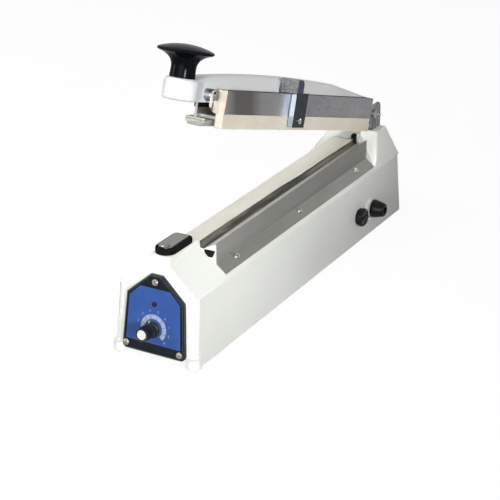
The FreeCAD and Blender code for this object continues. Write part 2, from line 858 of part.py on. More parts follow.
def panel_label():
    body = new_body()
    outline = panel_outline("label_foot", "label_foot_width", "label_shoulder", "label_shoulder_width",
                            "label_top", "label_top_width")
    face = "-panel_thickness"
    pad(body, "y", outline, f"{face} - label_thickness", face)
    pocket(body, "y", (("0", "dial_height"), "nut_width * 0.62"), f"{face} - 1", "0")
    pocket(body, "y", (("0", "lamp_height"), "lamp_radius + screw_fit"), f"{face} - 1", "0")
    keep(body, "panel_label", on_panel)


def timer():
    spot = ("0", "dial_height")
    front = "-panel_thickness"
    can = fuse(rod("pot_radius", "0", "pot_depth", "y", spot),
               rod("bush_radius", f"{front} - bush_proud", "0", "y", spot))
    bore = rod("shaft_radius + pin_fit", f"{front} - 2 * bush_proud", "pot_depth / 2", "y", spot)
    rim = "(dial_height - pot_radius)"
    tags = [box(f"{k} * pot_tag_pitch - 1", f"{k} * pot_tag_pitch + 1", "2", "3", f"{rim} - pot_tag_length",
                f"{rim} + 1") for k in (-1, 0, 1)]
    keep(cut(fuse(can, *tags), bore), "timer_potentiometer", on_panel)
    nut = hexagon("nut_width", f"{front} - nut_height", front, "y", spot)
    hole = rod("bush_radius + screw_fit", f"{front} - 2 * nut_height", "0", "y", spot)
    keep(cut(nut, hole), "potentiometer_nut", on_panel)
    keep(group(rod("shaft_radius", f"{front} - shaft_length", "0", "y", spot)), "timer_shaft", on_panel)
    base = f"{front} - knob_lift"
    timer_knob(base)
    tip = f"{base} - knob_length"
    cap = cone("knob_cap_radius - 0.4", "knob_cap_radius", f"{tip} - 0.3", f"{tip} + knob_cap_thickness",
               "y", spot)
    keep(group(cap), "timer_knob_cap", on_panel)
    lamp = ("0", "lamp_height")
    lens = rod("lamp_radius", f"{front} - lamp_flange", "panel_thickness", "y", lamp)
    flange = rod("lamp_radius + lamp_flange", "0", "2 * lamp_flange", "y", lamp)
    keep(fuse(lens, flange), "indicator_lamp", on_panel)


def timer_knob(base):
    """Fluted knob, turned on its own axis and then set square to the panel."""
    profile = [("0", "0"), ("knob_radius", "0"), ("knob_radius", "knob_length * 0.6", "knob_length"),
               ("knob_tip_radius", "knob_length"), ("0", "knob_length")]
    body = turned_body(profile)
    bite = (("knob_radius + flute_radius * 0.45", "0"), "flute_radius")
    flute = pocket(body, "z", bite, "flute_radius * 2", "knob_length + 1")
    ring = body.newObject("PartDesign::PolarPattern", "flutes")
    ring.Originals = [flute]
    ring.Axis = (next(f for f in body.Origin.OriginFeatures if f.Role == "Z_Axis"), [""])
    ring.Angle = 360
    bind(ring, {"Occurrences": "flute_count"})
    body.Tip = ring
    doc.recompute()
    pocket(body, "z", (("0", "0"), "shaft_radius + pin_fit"), "-1", "knob_bore_depth")
    pocket(body, "z", (("0", "0"), "knob_cap_radius + pin_fit"), "knob_length - knob_cap_thickness",
           "knob_length + 1")
    upright_knob = place(body, "0", base, "dial_height", (1, 0, 0), "90")
    keep(group(upright_knob), "timer_knob", on_panel)


# Platform: rubber pad, steel strike plate, switch button and microswitch

def stadium(half, front, rear):
    """Outline with a round front end and a square rear."""
    bend = f"{half} * 1.0001"
    return [(f"-{half}", rear), (f"-{half}", f"{front} + {half}", bend), ("0", front, bend),
            (half, f"{front} + {half}"), (half, rear)]


def platform_parts():
    front = "(-base_length / 2 + pad_setback)"
    rear = f"({front} + pad_length)"
    body = new_body()
    pad(body, "z", stadium("(pad_width / 2)", front, rear), "platform_height", STRIKE_FLOOR)
    round_edges(body, "strike_rear_inset", lambda e: upright(e) and e.CenterOfMass.y > val(rear) - 1)
    pocket(body, "z", (("0", BUTTON_Y), "button_stem_radius + stop_gap"), "platform_height - 1",
           f"{STRIKE_FLOOR} + 1")
    keep(body, "strike_pad", on_base)
    inset = "((pad_width - strike_width) / 2)"
    plate = new_body()
    outline = stadium("(strike_width / 2)", f"({front} + {inset})", f"({rear} - strike_rear_inset)")
    pad(plate, "z", outline, STRIKE_FLOOR, STRIKE_TOP)
    pocket(plate, "z", (("0", BUTTON_Y), "button_radius + stop_gap"), f"{STRIKE_FLOOR} - 1",
           f"{STRIKE_TOP} + 1")
    keep(plate, "strike_plate", on_base)
    crown = f"({STRIKE_TOP} + button_proud)"
    spot = ("0", BUTTON_Y)
    under = f"({STRIKE_FLOOR} + button_travel + stop_gap)"
    head = cone("button_radius", "button_radius - button_proud", under, crown, "z", spot)
    stem = rod("button_stem_radius", STEM_FOOT, f"{under} + 0.1", "z", spot)
    keep(fuse(head, stem), "switch_button", on_base)
    microswitch()


def microswitch():
    half = "switch_width / 2"
    start = f"({BUTTON_Y} - switch_length * 0.3)"
    floor = f"({SWITCH_TOP} - switch_height)"
    case = box(f"-{half}", half, start, f"{start} + switch_length", floor, SWITCH_TOP)
    nib = rod("switch_width / 5", f"{SWITCH_TOP} - 1", f"{SWITCH_TOP} + switch_stem_height", "z",
              ("0", BUTTON_Y))
    tag_x = "switch_width * 0.15"
    tags = [box(f"-{tag_x}", tag_x, f"{start} + switch_length * {k}", f"{start} + switch_length * {k} + 1",
                f"{floor} - switch_height * 0.4", f"{floor} + 1") for k in (0.1, 0.5, 0.9)]
    ends = [(f"{start} + switch_length * {k}", f"{floor} + switch_height * 0.3") for k in (0.15, 0.85)]
    rivets = [rod("screw_radius", f"{half} - 1", f"{half} + switch_plate + 1", "x", spot) for spot in ends]
    keep(fuse(case, nib, *tags, *rivets), "microswitch", on_base)
    plate = box(half, f"{half} + switch_plate", f"{start} + 1", f"{start} + switch_length - 1", floor,
                CEILING)
    holes = [rod("screw_radius + screw_fit", half, f"{half} + 3 * switch_plate", "x", spot) for spot in ends]
    keep(cut(plate, *holes), "microswitch_bracket", on_base)


# Sealing ridge and cutting groove

def ridge_parts():
    rib = "rib_width / 2"
    rear = f"{COLUMN_FOOT} + bar_rear_lead"
    board_top = "(rib_top + board_thickness)"
    holes = [rod("post_radius + screw_fit", "rib_top - 1", f"{board_top} + 1", "z", ("0", y))
             for y in post_spots()]
    board = box(f"-{rib}", rib, PLATFORM_REAR, rear, "rib_top", board_top)
    keep(cut(board, *holes), "element_board", on_base)
    wide = "ribbon_width / 2"
    first, last = post_spots()
    ribbon = box(f"-{wide}", wide, f"{first} - post_radius", f"{last} + post_radius", board_top,
                 f"{board_top} + ribbon_thickness")
    keep(group(ribbon), "heating_ribbon", on_base)
    foot = f"({board_top} - post_drop)"
    posts = [fuse(rod("post_radius", foot, board_top, "z", ("0", y)),
                  hexagon("post_radius * 3.2", f"{CEILING} - 3", CEILING, "z", ("0", y)))
             for y in post_spots()]
    keep(group(*posts), "element_terminals", on_base)
    cloth = new_body()
    flap = f"({RIDGE_TOP} - cloth_flap)"
    outline = [(f"-{RIDGE_X}", flap), (f"-{rib}", flap), (f"-{rib}", CLOTH_UNDER), (rib, CLOTH_UNDER),
               (rib, flap), (RIDGE_X, flap), (RIDGE_X, RIDGE_TOP), (f"-{RIDGE_X}", RIDGE_TOP)]
    pad(cloth, "y", outline, PLATFORM_REAR, rear)
    keep(cloth, "ptfe_cloth", on_base)


def groove_parts():
    rear = f"{COLUMN_FOOT} + bar_rear_lead"
    bar = new_body()
    lip = "cloth_thickness"
    outline = [(RIDGE_X, "groove_floor"), ("groove_floor_x", "groove_floor"),
               (f"{RIDGE_X} + {lip}", RIDGE_TOP), (RIDGE_X, RIDGE_TOP)]
    pad(bar, "y", outline, PLATFORM_REAR, rear)
    keep(bar, "groove_bar", on_base)
    plug = new_body()
    pad(plug, "y", plug_outline("0"), f"{PLATFORM_REAR} - plug_proud", f"{PLATFORM_REAR} + plug_depth")
    keep(plug, "groove_plug", on_base)


def cover_plate():
    """Bent sheet over the shelf: an upright face and a foot that lies on the sloping roof."""
    body = new_body()
    outer = "(shelf_side_x + plate_thickness)"
    lift = f"plate_thickness / cos({ROOF_ANGLE})"
    outline = [("shelf_side_x", roof_at("shelf_side_x")), ("plate_foot_x", roof_at("plate_foot_x")),
               (f"plate_foot_x + plate_thickness * sin({ROOF_ANGLE})",
                f"{roof_at('plate_foot_x')} + plate_thickness * cos({ROOF_ANGLE})"),
               (outer, f"{roof_at(outer)} + {lift}"), (outer, "plate_top"), ("shelf_side_x", "plate_top")]
    pad(body, "y", outline, PLATFORM_REAR, f"{COLUMN_FOOT} + bar_rear_lead - 0.5")
    holes = [place(group(rod("screw_radius + screw_fit", "-5", "5")), *spot, (0, 1, 0), ROOF_ANGLE)
             for spot in facet_spots()]
    keep(cut(body, *holes), "cover_plate", on_base)
    turned = [screw(*spot, (0, 1, 0), ROOF_ANGLE) for spot in facet_spots()]
    keep(group(*turned), "cover_plate_screws", on_base)


# Mains inlet: fuse holder and cable gland, in frames on the right wall

def fuse_parts():
    seat = on_wall("fuse_setback")
    barrel = fuse(rod("fuse_barrel_radius", "-fuse_barrel_length", "fuse_collar_length", "x"),
                  rod("fuse_collar_radius", "0", "fuse_collar_length", "x"))
    bore = rod("fuse_radius + 0.3", "-fuse_barrel_length + wall", "fuse_collar_length + 1", "x")
    keep(cut(barrel, bore), "fuse_holder", seat)
    deep = "(-fuse_barrel_length + wall)"
    keep(group(rod("fuse_radius", deep, f"{deep} + fuse_length", "x")), "glass_fuse", seat)
    nut = hexagon("fuse_barrel_radius * 2 + 5", "-wall - 4.5", "-wall - 0.5", "x")
    keep(cut(nut, rod("fuse_barrel_radius + screw_fit", "-20", "0", "x")), "fuse_holder_nut", seat)
    cap = new_body()
    start = "fuse_collar_length + 0.3"
    pad(cap, "x", (("0", "0"), "fuse_cap_radius"), start, f"{start} + fuse_cap_length")
    face = val(f"{start} + fuse_cap_length")
    bevel_edges(cap, "1.4", lambda e: abs(e.CenterOfMass.x - face) < 1e-4)
    slot = rectangle("-fuse_cap_radius", "fuse_cap_radius", "-recess_width", "recess_width")
    pocket(cap, "x", slot, f"{start} + fuse_cap_length - 1.2", f"{start} + fuse_cap_length + 1")
    tongue = rod("fuse_radius", "-fuse_barrel_length + wall + fuse_length + stop_gap", f"{start} + 0.1", "x")
    keep(fuse(cap, tongue), "fuse_cap", seat)


def gland_parts():
    seat = on_wall("inlet_setback")
    ring = rod("washer_radius", "0", "washer_thickness", "x")
    hole = rod("gland_thread_radius + screw_fit", "-1", "washer_thickness + 1", "x")
    keep(cut(ring, hole), "gland_ring", seat)
    end = "(washer_thickness + gland_length)"
    dome = cone("gland_radius", "gland_tip_radius", "washer_thickness + 3", end, "x")
    collar = rod("gland_radius", "washer_thickness", "washer_thickness + 3.1", "x")
    thread = rod("gland_thread_radius", "-gland_thread_length", "washer_thickness + 1", "x")
    bore = rod("gland_bore_radius", "-gland_thread_length - 1", f"{end} + 1", "x")
    keep(cut(fuse(dome, collar, thread), bore), "cable_gland", seat)
    nut = hexagon("locknut_width", "-wall - 0.5 - locknut_height", "-wall - 0.5", "x")
    keep(cut(nut, rod("gland_thread_radius + screw_fit", "-20", "0", "x")), "gland_locknut", seat)


# Electrics on the floor pan

def transformer():
    x = "core_width / 2"
    y = "core_length / 2"
    foot = PAN_TOP
    top = f"({PAN_TOP} + core_height)"
    core = box(f"-{x}", x, f"core_y - {y}", f"core_y + {y}", foot, top)
    leg = "core_limb"
    low, high = f"({foot} + {leg})", f"({top} - {leg})"
    windows = [box(f"-{x} - 1", f"{x} + 1", a, b, low, high) for a, b in
               ((f"core_y - {y} + {leg}", f"core_y - {leg}"), (f"core_y + {leg}", f"core_y + {y} - {leg}"))]
    keep(cut(core, *windows), "transformer_core", on_base)
    gap = "0.4"
    wide = "coil_width / 2"
    block = box(f"-{wide}", wide, f"core_y - {y} + {leg} + {gap}", f"core_y + {y} - {leg} - {gap}",
                f"{low} + {gap}", f"{high} - {gap}")
    hole = box(f"-{x} - 0.1", f"{x} + 0.1", f"core_y - {leg} - 0.1", f"core_y + {leg} + 0.1", low, high)
    keep(cut(block, hole), "transformer_coil", on_base)
    strap_x = "core_width / 2 * 0.6"
    near, far = f"core_y - {y}", f"core_y + {y}"
    hoop = box(f"-{strap_x}", strap_x, f"{near} - strap_thickness", f"{far} + strap_thickness", foot,
               f"{top} + strap_thickness")
    hollow = box(f"-{x}", x, near, far, f"{foot} - 1", top)
    feet = [box(f"-{strap_x}", strap_x, a, b, foot, f"{foot} + strap_thickness") for a, b in
            ((f"{near} - strap_foot", f"{near} - 0.5"), (f"{far} + 0.5", f"{far} + strap_foot"))]
    keep(fuse(cut(hoop, hollow), *feet), "transformer_strap", on_base)


def timer_card():
    x = "card_width / 2"
    y = "card_length / 2"
    base = f"({PAN_TOP} + spacer_height)"
    top = f"({base} + card_thickness)"
    keep(group(box(f"-{x}", x, f"card_y - {y}", f"card_y + {y}", base, top)), "timer_card", on_base)
    inset = "spacer_radius * 1.7"
    spots = [(f"{sx} * ({x} - {inset})", f"card_y + {sy} * ({y} - {inset})")
             for sx in (-1, 1) for sy in (-1, 1)]
    spacers = [rod("spacer_radius", PAN_TOP, base, "z", spot) for spot in spots]
    keep(group(*spacers), "timer_card_spacers", on_base)
    relay = box("-card_width * 0.3", "card_width * 0.11", "card_y - card_length * 0.4",
                "card_y - card_length * 0.1", top, f"{top} + spacer_height * 2")
    chip = box("-card_width * 0.22", "0", "card_y + card_length * 0.06", "card_y + card_length * 0.22",
               top, f"{top} + spacer_height / 2")
    can = rod("card_width * 0.11", top, f"{top} + spacer_height * 1.75", "z",
              ("card_width * 0.26", "card_y + card_length * 0.31"))
    keep(group(relay, chip, can), "timer_card_parts", on_base)


# Hinge on the column

def hinge_bracket():
    body = new_body()
    out = "bracket_width / 2"
    ear = f"{PIVOT_Z} + ear_rise"
    outline = [(f"-{out}", "column_top_height"), (out, "column_top_height"), (out, ear), (EAR_X, ear),
               (EAR_X, BRACKET_TOP), (f"-{EAR_X}", BRACKET_TOP), (f"-{EAR_X}", ear), (f"-{out}", ear)]
    front, rear = f"({PIVOT_Y} - bracket_front)", f"({PIVOT_Y} + bracket_rear)"
    pad(body, "y", outline, front, rear)
    crest = val(ear)
    round_edges(body, "ear_rounding", lambda e: level_at(e, crest) and e.BoundBox.YLength < 1e-4)
    nose = [(f"{front} - 1", "column_top_height - 1"), (f"{COLUMN_TOP} + 0.5", "column_top_height - 1"),
            (f"{COLUMN_TOP} + 0.5", BRACKET_TOP), (f"{front} - 1", f"{PIVOT_Z} - 6")]
    pocket(body, "x", nose, f"-{out} - 1", f"{out} + 1")
    holes = [rod("screw_radius + screw_fit", "column_top_height - 1", f"{BRACKET_TOP} + 1", "z", spot)
             for spot in bracket_screw_spots()]
    pivot = rod("pin_radius + pin_fit", f"-{out} - 1", f"{out} + 1", "x", (PIVOT_Y, PIVOT_Z))
    stay = rod("stay_radius + pin_fit", f"-{out} - 1", f"{out} + 1", "x",
               (f"{PIVOT_Y} + stay_rear", f"{PIVOT_Z} - stay_drop"))
    keep(cut(body, pivot, stay, *holes), "hinge_bracket", on_base)
    turned = [screw(x, y, BRACKET_TOP, None, "0", "bracket_gauge + wall") for x, y in bracket_screw_spots()]
    keep(group(*turned), "hinge_bracket_screws", on_base)


def hinge_pin():
    out = "(bracket_width / 2)"
    spot = (PIVOT_Y, PIVOT_Z)
    shank = rod("pin_radius", f"-{out} - 2.2", f"{out} + 0.1", "x", spot)
    head = rod("pin_radius + 1.6", out, f"{out} + 1.6", "x", spot)
    keep(fuse(shank, head), "hinge_pin", on_base)
    ring = rod("pin_radius + 1.8", f"-{out} - 1.4", f"-{out} - 0.4", "x", spot)
    keep(cut(ring, rod("pin_radius", f"-{out} - 3", f"-{out}", "x", spot)), "hinge_pin_clip", on_base)
    stay = rod("stay_radius", f"-{out} - 0.8", f"{out} + 0.8", "x",
               (f"{PIVOT_Y} + stay_rear", f"{PIVOT_Z} - stay_drop"))
    keep(group(stay), "hinge_stay", on_base)


def biarc(start, heading, end, leaving):
    """Two tangent arcs from one point and direction to another."""
    chord = end - start
    both = heading + leaving
    slope = chord.dot(both)
    square = 2 * (1 - heading.dot(leaving))
    reach = (-slope + math.sqrt(slope ** 2 + square * chord.dot(chord))) / square
    near, far = start + heading * reach, end - leaving * reach
    joint = (near + far) / 2
    arcs = []
    for a, corner, b in ((start, near, joint), (joint, far, end)):
        axis = ((a - corner).normalize() + (b - corner).normalize()).normalize()
        half = (a - corner).getAngle(axis)
        radius = reach * math.tan(half)
        centre = corner + axis * (reach / math.cos(half))
        arcs.append(Part.Arc(a, centre - axis * radius, b).toShape())
    return arcs


def spring_point(turn, side):
    """A point of the coil and its direction; it starts and ends underneath, running to the rear."""
    radius, pitch = val("spring_radius"), val("spring_pitch")
    angle = 2 * math.pi * turn - math.pi / 2
    x = side * (val("spring_start_x") + pitch * turn)
    point = Vector(x, radius * math.cos(angle), radius * math.sin(angle))
    run = Vector(side * pitch / (2 * math.pi), -radius * math.sin(angle), radius * math.cos(angle))
    return point, run.normalize()


def return_spring(side):
    """One torsion spring: a leg under the arm's peg, the coil round the pin, a leg under the stay."""
    quarters = int(round(val("spring_turns") * 4))
    first, heading = spring_point(0, side)
    last, leaving = spring_point(quarters / 4, side)
    tail = last + leaving * val("spring_base_leg")
    nose = first - heading * val("spring_arm_leg")
    edges = [Part.LineSegment(nose, first).toShape()]
    for k in range(quarters):
        a, b = spring_point(k / 4, side), spring_point((k + 1) / 4, side)
        edges += biarc(*a, *b)
    edges.append(Part.LineSegment(last, tail).toShape())
    path = Part.Wire(edges)
    ring = Part.Wire(Part.Circle(nose, heading, val("spring_wire") / 2).toShape())
    return path.makePipeShell([ring], True, False), path


def spring_self_gap(path):
    """Least clear space between neighbouring turns, measured on points along the wire."""
    points = path.discretize(Number=400)
    apart = int(400 * 0.6 / (val("spring_turns") + 1.2))
    pairs = ((a - b).Length for i, a in enumerate(points) for b in points[i + apart // 2:])
    return min(pairs) - val("spring_wire")


def return_springs():
    shapes = []
    for side in (-1, 1):
        shape, path = return_spring(side)
        shapes.append(Part.Solid(shape) if shape.ShapeType == "Shell" else shape)
        print("return spring, least gap between turns", round(spring_self_gap(path), 2), "mm")
    pair = doc.addObject("Part::Feature", "springs")
    pair.Shape = Part.makeCompound(shapes)
    keep(pair, "return_springs", lambda o: place(o, "0", PIVOT_Y, f"{PIVOT_Z} + foot_drop"))


# Press arm, in the arm's frame with the handle at minus Y

def heel_drop():
    """How far below the pin the heel lies, so that it stops on the bracket with the arm open."""
    room = "(pivot_rise - bracket_gauge - stop_gap)"
    return f"(({room} - heel_reach * sin(open_angle)) / cos(open_angle))"


def arm_casting():
    body = new_body()
    half = "arm_width / 2"
    heel = f"-{heel_drop()}"
    outline = [("heel_reach", heel), ("heel_reach", "arm_rear_top - heel_bevel"),
               ("heel_reach - heel_bevel", "arm_rear_top"), ("-arm_nape_reach", "arm_rear_top + 1"),
               ("-arm_crown_rear", "arm_crown", "arm_crown_radius"), (f"-{CROWN_FRONT}", "arm_crown"),
               (f"-{BOSS_REAR}", "handle_boss_top"), (f"-{HANDLE_REACH}", "handle_boss_top"),
               (f"-{HANDLE_REACH}", "arm_floor"), ("-arm_belly_reach", "arm_floor"),
               ("-arm_chin_reach", "-arm_chin_drop"), ("heel_toe", heel)]
    pad(body, "x", outline, f"-{half}", half)
    round_edges(body, "arm_edge_rounding", arm_top_edge)
    roof = "(arm_wall + 1)"
    rear, front = "heel_reach - arm_wall", f"-{HANDLE_REACH} + arm_hollow_setback"
    hollow = [(rear, f"2 * {heel}"), (rear, "arm_hollow_rear_top"),
              ("-arm_nape_reach", f"arm_rear_top + 1 - {roof}"), ("-arm_crown_rear", f"arm_crown - {roof}"),
              (f"-{CROWN_FRONT}", f"arm_crown - {roof}"), (front, f"handle_boss_top - {roof}"),
              (front, f"2 * {heel}")]
    inner = f"({half} - arm_wall)"
    pocket(body, "x", hollow, f"-{inner}", inner)
    return body


def arm_top_edge(edge):
    """The long upper edges of the arm, along its crown."""
    a, b = edge.Vertexes[0].Point, edge.Vertexes[-1].Point
    return abs(a.x - b.x) < 1e-4 and min(a.z, b.z) > val("arm_rear_top") - 0.1 and abs(b.y - a.y) > 1


def handle_boss():
    """Round front end under the handle, with cheeks that run into the arm."""
    radius, soft = "handle_boss_radius", "handle_boss_rounding"
    floor, top = "arm_floor", "handle_boss_top"
    drum = turned_body([("0", floor), (f"{radius} - {soft}", floor, soft), (radius, f"{floor} + {soft}"),
                        (radius, f"{top} - {soft}", soft), (f"{radius} - {soft}", top), ("0", top)])
    place(drum, y=f"-{HANDLE_REACH}")
    cheeks = new_body()
    wide, slim = f"({radius} - 0.4)", "(arm_width / 2 - 0.5)"
    rear = f"(-{HANDLE_REACH} + {radius} * 1.6)"
    outline = [(f"-{wide}", f"-{HANDLE_REACH}"), (wide, f"-{HANDLE_REACH}"), (slim, rear), (f"-{slim}", rear)]
    pad(cheeks, "z", outline, f"{floor} + {soft} / 2", f"{top} - {soft} / 2")
    return fuse(drum, cheeks)


def press_arm():
    out = f"({EAR_X} - hub_clearance)"
    inner = "(bar_web / 2 + hub_clearance)"
    hubs = [rod("hub_radius", a, b, "x") for a, b in ((f"-{out}", f"-{inner}"), (inner, out))]
    peg_v = "(-spring_radius + spring_wire / 2 + 0.2 + spring_peg_radius)"
    reach = "arm_width / 2 - 1", "spring_start_x + 3"
    pegs = [rod("spring_peg_radius", a, b, "x", ("-spring_arm_leg * 0.7", peg_v))
            for a, b in ((f"-({reach[1]})", f"-({reach[0]})"), reach)]
    solid = fuse(arm_casting(), handle_boss(), *hubs, *pegs)
    pivot = rod("pin_radius + pin_fit", "-40", "40", "x")
    half = "stud_length / 2"
    stud = rod("stud_radius + pin_fit", f"handle_boss_top - {half}", f"handle_boss_top + {half}", "z",
               ("0", f"-{HANDLE_REACH}"))
    thread = rod("guide_screw_radius + pin_fit", "arm_width / 2 - arm_wall - 1", "arm_width", "x",
                 (f"-{STANDOFF_REACH}", "standoff_height"))
    keep(cut(solid, pivot, stud, thread), "press_arm", on_arm)


def handle():
    """Mushroom handle: neck, hollow flare, thin rim and a ball-shaped top, on a steel stud."""
    rim, edge = "handle_rim_height", "handle_rim_edge / 2"
    brim = "(handle_rim_radius - 0.6)"
    rise = f"(handle_dome - {edge})"
    ball = f"(({brim} * {brim} + {rise} * {rise}) / 2 / {rise})"
    outline = [("0", "0"), ("handle_base_radius", "0"),
               ("handle_neck_radius", "handle_neck_height", "-handle_flare"),
               ("handle_rim_radius - 1", f"{rim} - {edge}"), ("handle_rim_radius", rim),
               (brim, f"{rim} + {edge}", ball), ("0", f"{rim} + handle_dome")]
    body = turned_body(outline)
    half = "stud_length / 2"
    pocket(body, "z", (("0", "0"), "stud_radius + pin_fit"), "-1", f"{half} + 1")
    keep(group(place(body, "0", f"-{HANDLE_REACH}", "handle_boss_top")), "handle_knob", on_arm)
    stud = rod("stud_radius", f"handle_boss_top - {half}", f"handle_boss_top + {half}", "z",
               ("0", f"-{HANDLE_REACH}"))
    keep(group(stud), "handle_stud", on_arm)


# Floating carriage under the arm: press bar, silicone, buffer and the cutter rail

def press_bar():
    body = new_body()
    web, wide = "bar_web / 2", "bar_width / 2"
    low = f"-{FLANGE_DROP} - bar_flange"
    high = f"-{FLANGE_DROP}"
    tee = [(f"-{wide}", low), (wide, low), (wide, high), (web, high), (web, "bar_web_top"),
           (f"-{web}", "bar_web_top"), (f"-{web}", high), (f"-{wide}", high)]
    pad(body, "y", tee, f"-{BAR_FRONT}", f"-{BAR_REAR}")
    tail = [("0", "-bar_eye_radius"), ("0", "bar_web_top"), (f"-{BAR_REAR} - 1", "bar_web_top"),
            (f"-{BAR_REAR} - 1", high), (f"-{BAR_REAR} + 6", "-bar_eye_radius")]
    pad(body, "x", tail, f"-{web}", web)
    pad(body, "x", (("0", "0"), "bar_eye_radius"), f"-{web}", web)
    pocket(body, "x", (("0", "0"), "pin_radius + pin_fit"), f"-{web} - 1", f"{web} + 1")
    keep(body, "press_bar", on_arm)
    strip = new_body()
    top = f"(-{FLANGE_DROP} - bar_flange)"
    foot = f"({top} - silicone_thickness)"
    flat = "(bar_width / 2 - silicone_chamfer_x)"
    outline = [(f"-{flat}", foot), (flat, foot), (wide, f"{foot} + silicone_chamfer_z"), (wide, top),
               (f"-{wide}", top), (f"-{wide}", f"{foot} + silicone_chamfer_z")]
    pad(strip, "y", outline, f"-{BAR_FRONT}", f"-{BAR_REAR}")
    keep(strip, "silicone_strip", on_arm)
    buffer_strip = new_body()
    side = "buffer_width / 2"
    outline = [(f"-{side}", "-buffer_foot"), (f"-{web}", "-buffer_foot"), (f"-{web}", "bar_web_top"),
               (web, "bar_web_top"), (web, "-buffer_foot"), (side, "-buffer_foot"), (side, "buffer_top"),
               (f"-{side}", "buffer_top")]
    pad(buffer_strip, "y", outline, f"-{BAR_FRONT}", f"-{BAR_REAR} - 2")
    keep(buffer_strip, "bar_buffer", on_arm)


def cutter_rail():
    body = new_body()
    profile = rectangle("rail_inner_x", RAIL_OUTER_X, "-rail_foot", "rail_top")
    pad(body, "y", profile, f"-{RAIL_FRONT}", "-rail_rear_reach")
    front = f"-{RAIL_FRONT}"
    tip = f"{front} - ear_reach"
    ear = [(f"{front} + 1", "-ear_tip"), (f"{front} + 1", "ear_top"), (f"{tip} + ear_reach / 5", "ear_top"),
           (tip, "ear_top - ear_reach / 5"), (tip, "1"), (f"{front} - ear_tip", "-ear_tip")]
    pad(body, "x", ear, "rail_inner_x", "rail_inner_x + ear_thickness")
    middle = f"-{STANDOFF_REACH}"
    wide = "(guide_screw_radius + slot_fit)"
    slot = rectangle(f"{middle} - {wide}", f"{middle} + {wide}", f"standoff_height - slot_travel - {wide}",
                     f"standoff_height + {wide}")
    pocket(body, "x", slot, "rail_inner_x - 1", "rail_inner_x + ear_thickness + 1")
    keep(body, "cutter_rail", on_arm)
    cover = new_body()
    skin = f"({RAIL_OUTER_X} + cover_gauge)"
    outline = [(RAIL_OUTER_X, "-cover_foot"), (skin, "-cover_foot"), (skin, "rail_top + cover_gauge"),
               ("rail_inner_x", "rail_top + cover_gauge"), ("rail_inner_x", "rail_top"),
               (RAIL_OUTER_X, "rail_top")]
    pad(cover, "y", outline, f"-{RAIL_FRONT}", "-rail_rear_reach")
    keep(cover, "rail_cover", on_arm)
    spans = ((f"-{RAIL_FRONT} + 1", f"-{RAIL_FRONT} + 1 + bridge_length"),
             (f"-{BAR_REAR} - bridge_length - 1", f"-{BAR_REAR} - 1"))
    bridges = [box("bar_web / 2", "rail_inner_x", a, b, f"-{FLANGE_DROP}", f"-{FLANGE_DROP} + bridge_height")
               for a, b in spans]
    keep(group(*bridges), "rail_bridges", on_arm)


def rail_guide():
    """Chrome stand-off on the arm, with the screw that the rail's slotted ear hangs on."""
    spot = (f"-{STANDOFF_REACH}", "standoff_height")
    start, end = "arm_width / 2", "(rail_inner_x - 0.3)"
    post = rod("standoff_radius", start, end, "x", spot)
    keep(cut(post, rod("guide_screw_radius + pin_fit", "0", "30", "x", spot)), "rail_standoff", on_arm)
    seat = "(rail_inner_x + ear_thickness + 0.3)"
    shank = rod("guide_screw_radius", "arm_width / 2 - arm_wall + 0.5", f"{seat} + 0.1", "x", spot)
    head = rod("guide_head_radius", seat, f"{seat} + guide_head_height", "x", spot)
    slot = box(f"{seat} + guide_head_height - recess_depth", f"{seat} + guide_head_height + 1",
               f"{spot[0]} - recess_width / 2", f"{spot[0]} + recess_width / 2", "-20", "40")
    keep(cut(fuse(shank, head), slot), "rail_guide_screw", on_arm)


# Slider that rides the rail

def slider():
    front, rear = f"-{SLIDER_FRONT}", "-slider_rear_reach"
    clear_x = f"({RAIL_OUTER_X} + cover_gauge + slider_gap)"
    outer, gauge = "slider_outer_x", "slider_gauge"
    inner, under = "slider_inner_x", f"({SLIDER_TOP} - slider_gauge)"
    face = box(f"{outer} - {gauge}", outer, front, rear, "-slider_foot", SLIDER_TOP)
    folds = [box(clear_x, outer, a, b, "-slider_foot", SLIDER_TOP) for a, b in
             ((front, f"{front} + {gauge}"), (f"{rear} - {gauge}", rear))]
    roof = box(inner, outer, front, rear, under, SLIDER_TOP)
    leg = box(inner, f"{inner} + {gauge}", front, rear, "-slider_foot", SLIDER_TOP)
    sill = box(clear_x, outer, front, rear, "-slider_foot", f"-slider_foot + {gauge}")
    spot = (f"{rear} - slider_length / 2", "-slider_foot + 6.5")
    hole = rod("screw_radius + screw_fit", f"{outer} - 3", f"{outer} + 1", "x", spot)
    keep(cut(fuse(face, roof, leg, sill, *folds), hole), "slider_bracket", on_arm)
    keep(group(screw(outer, *spot, (0, 1, 0), "90", "slider_gauge + 1")), "slider_screw", on_arm)
    slider_grip(front)
    slider_blade(f"({inner} + {gauge})")


def slider_grip(front):
    """Moulded finger grip on top of the slider, with grooves across its front."""
    body = new_body()
    left, right = "(slider_inner_x - 0.9)", "slider_outer_x"
    top = f"({SLIDER_TOP} + grip_height)"
    rear = f"{front} + grip_length"
    profile = [(front, SLIDER_TOP), (rear, SLIDER_TOP), (rear, f"{top} - grip_bevel"),
               (f"{rear} - grip_bevel", top), (front, top)]
    pad(body, "x", profile, left, right)
    pitch = "(grip_height / (grip_groove_count + 1))"
    for k in range(1, int(val("grip_groove_count")) + 1):
        z = f"({SLIDER_TOP} + {k} * {pitch})"
        groove = [(f"{front} - 0.1", f"{z} - grip_groove / 2"), (f"{front} + grip_groove", z),
                  (f"{front} - 0.1", f"{z} + grip_groove / 2")]
        pocket(body, "x", groove, f"{left} - 1", f"{right} + 1")
    keep(body, "slider_grip", on_arm)


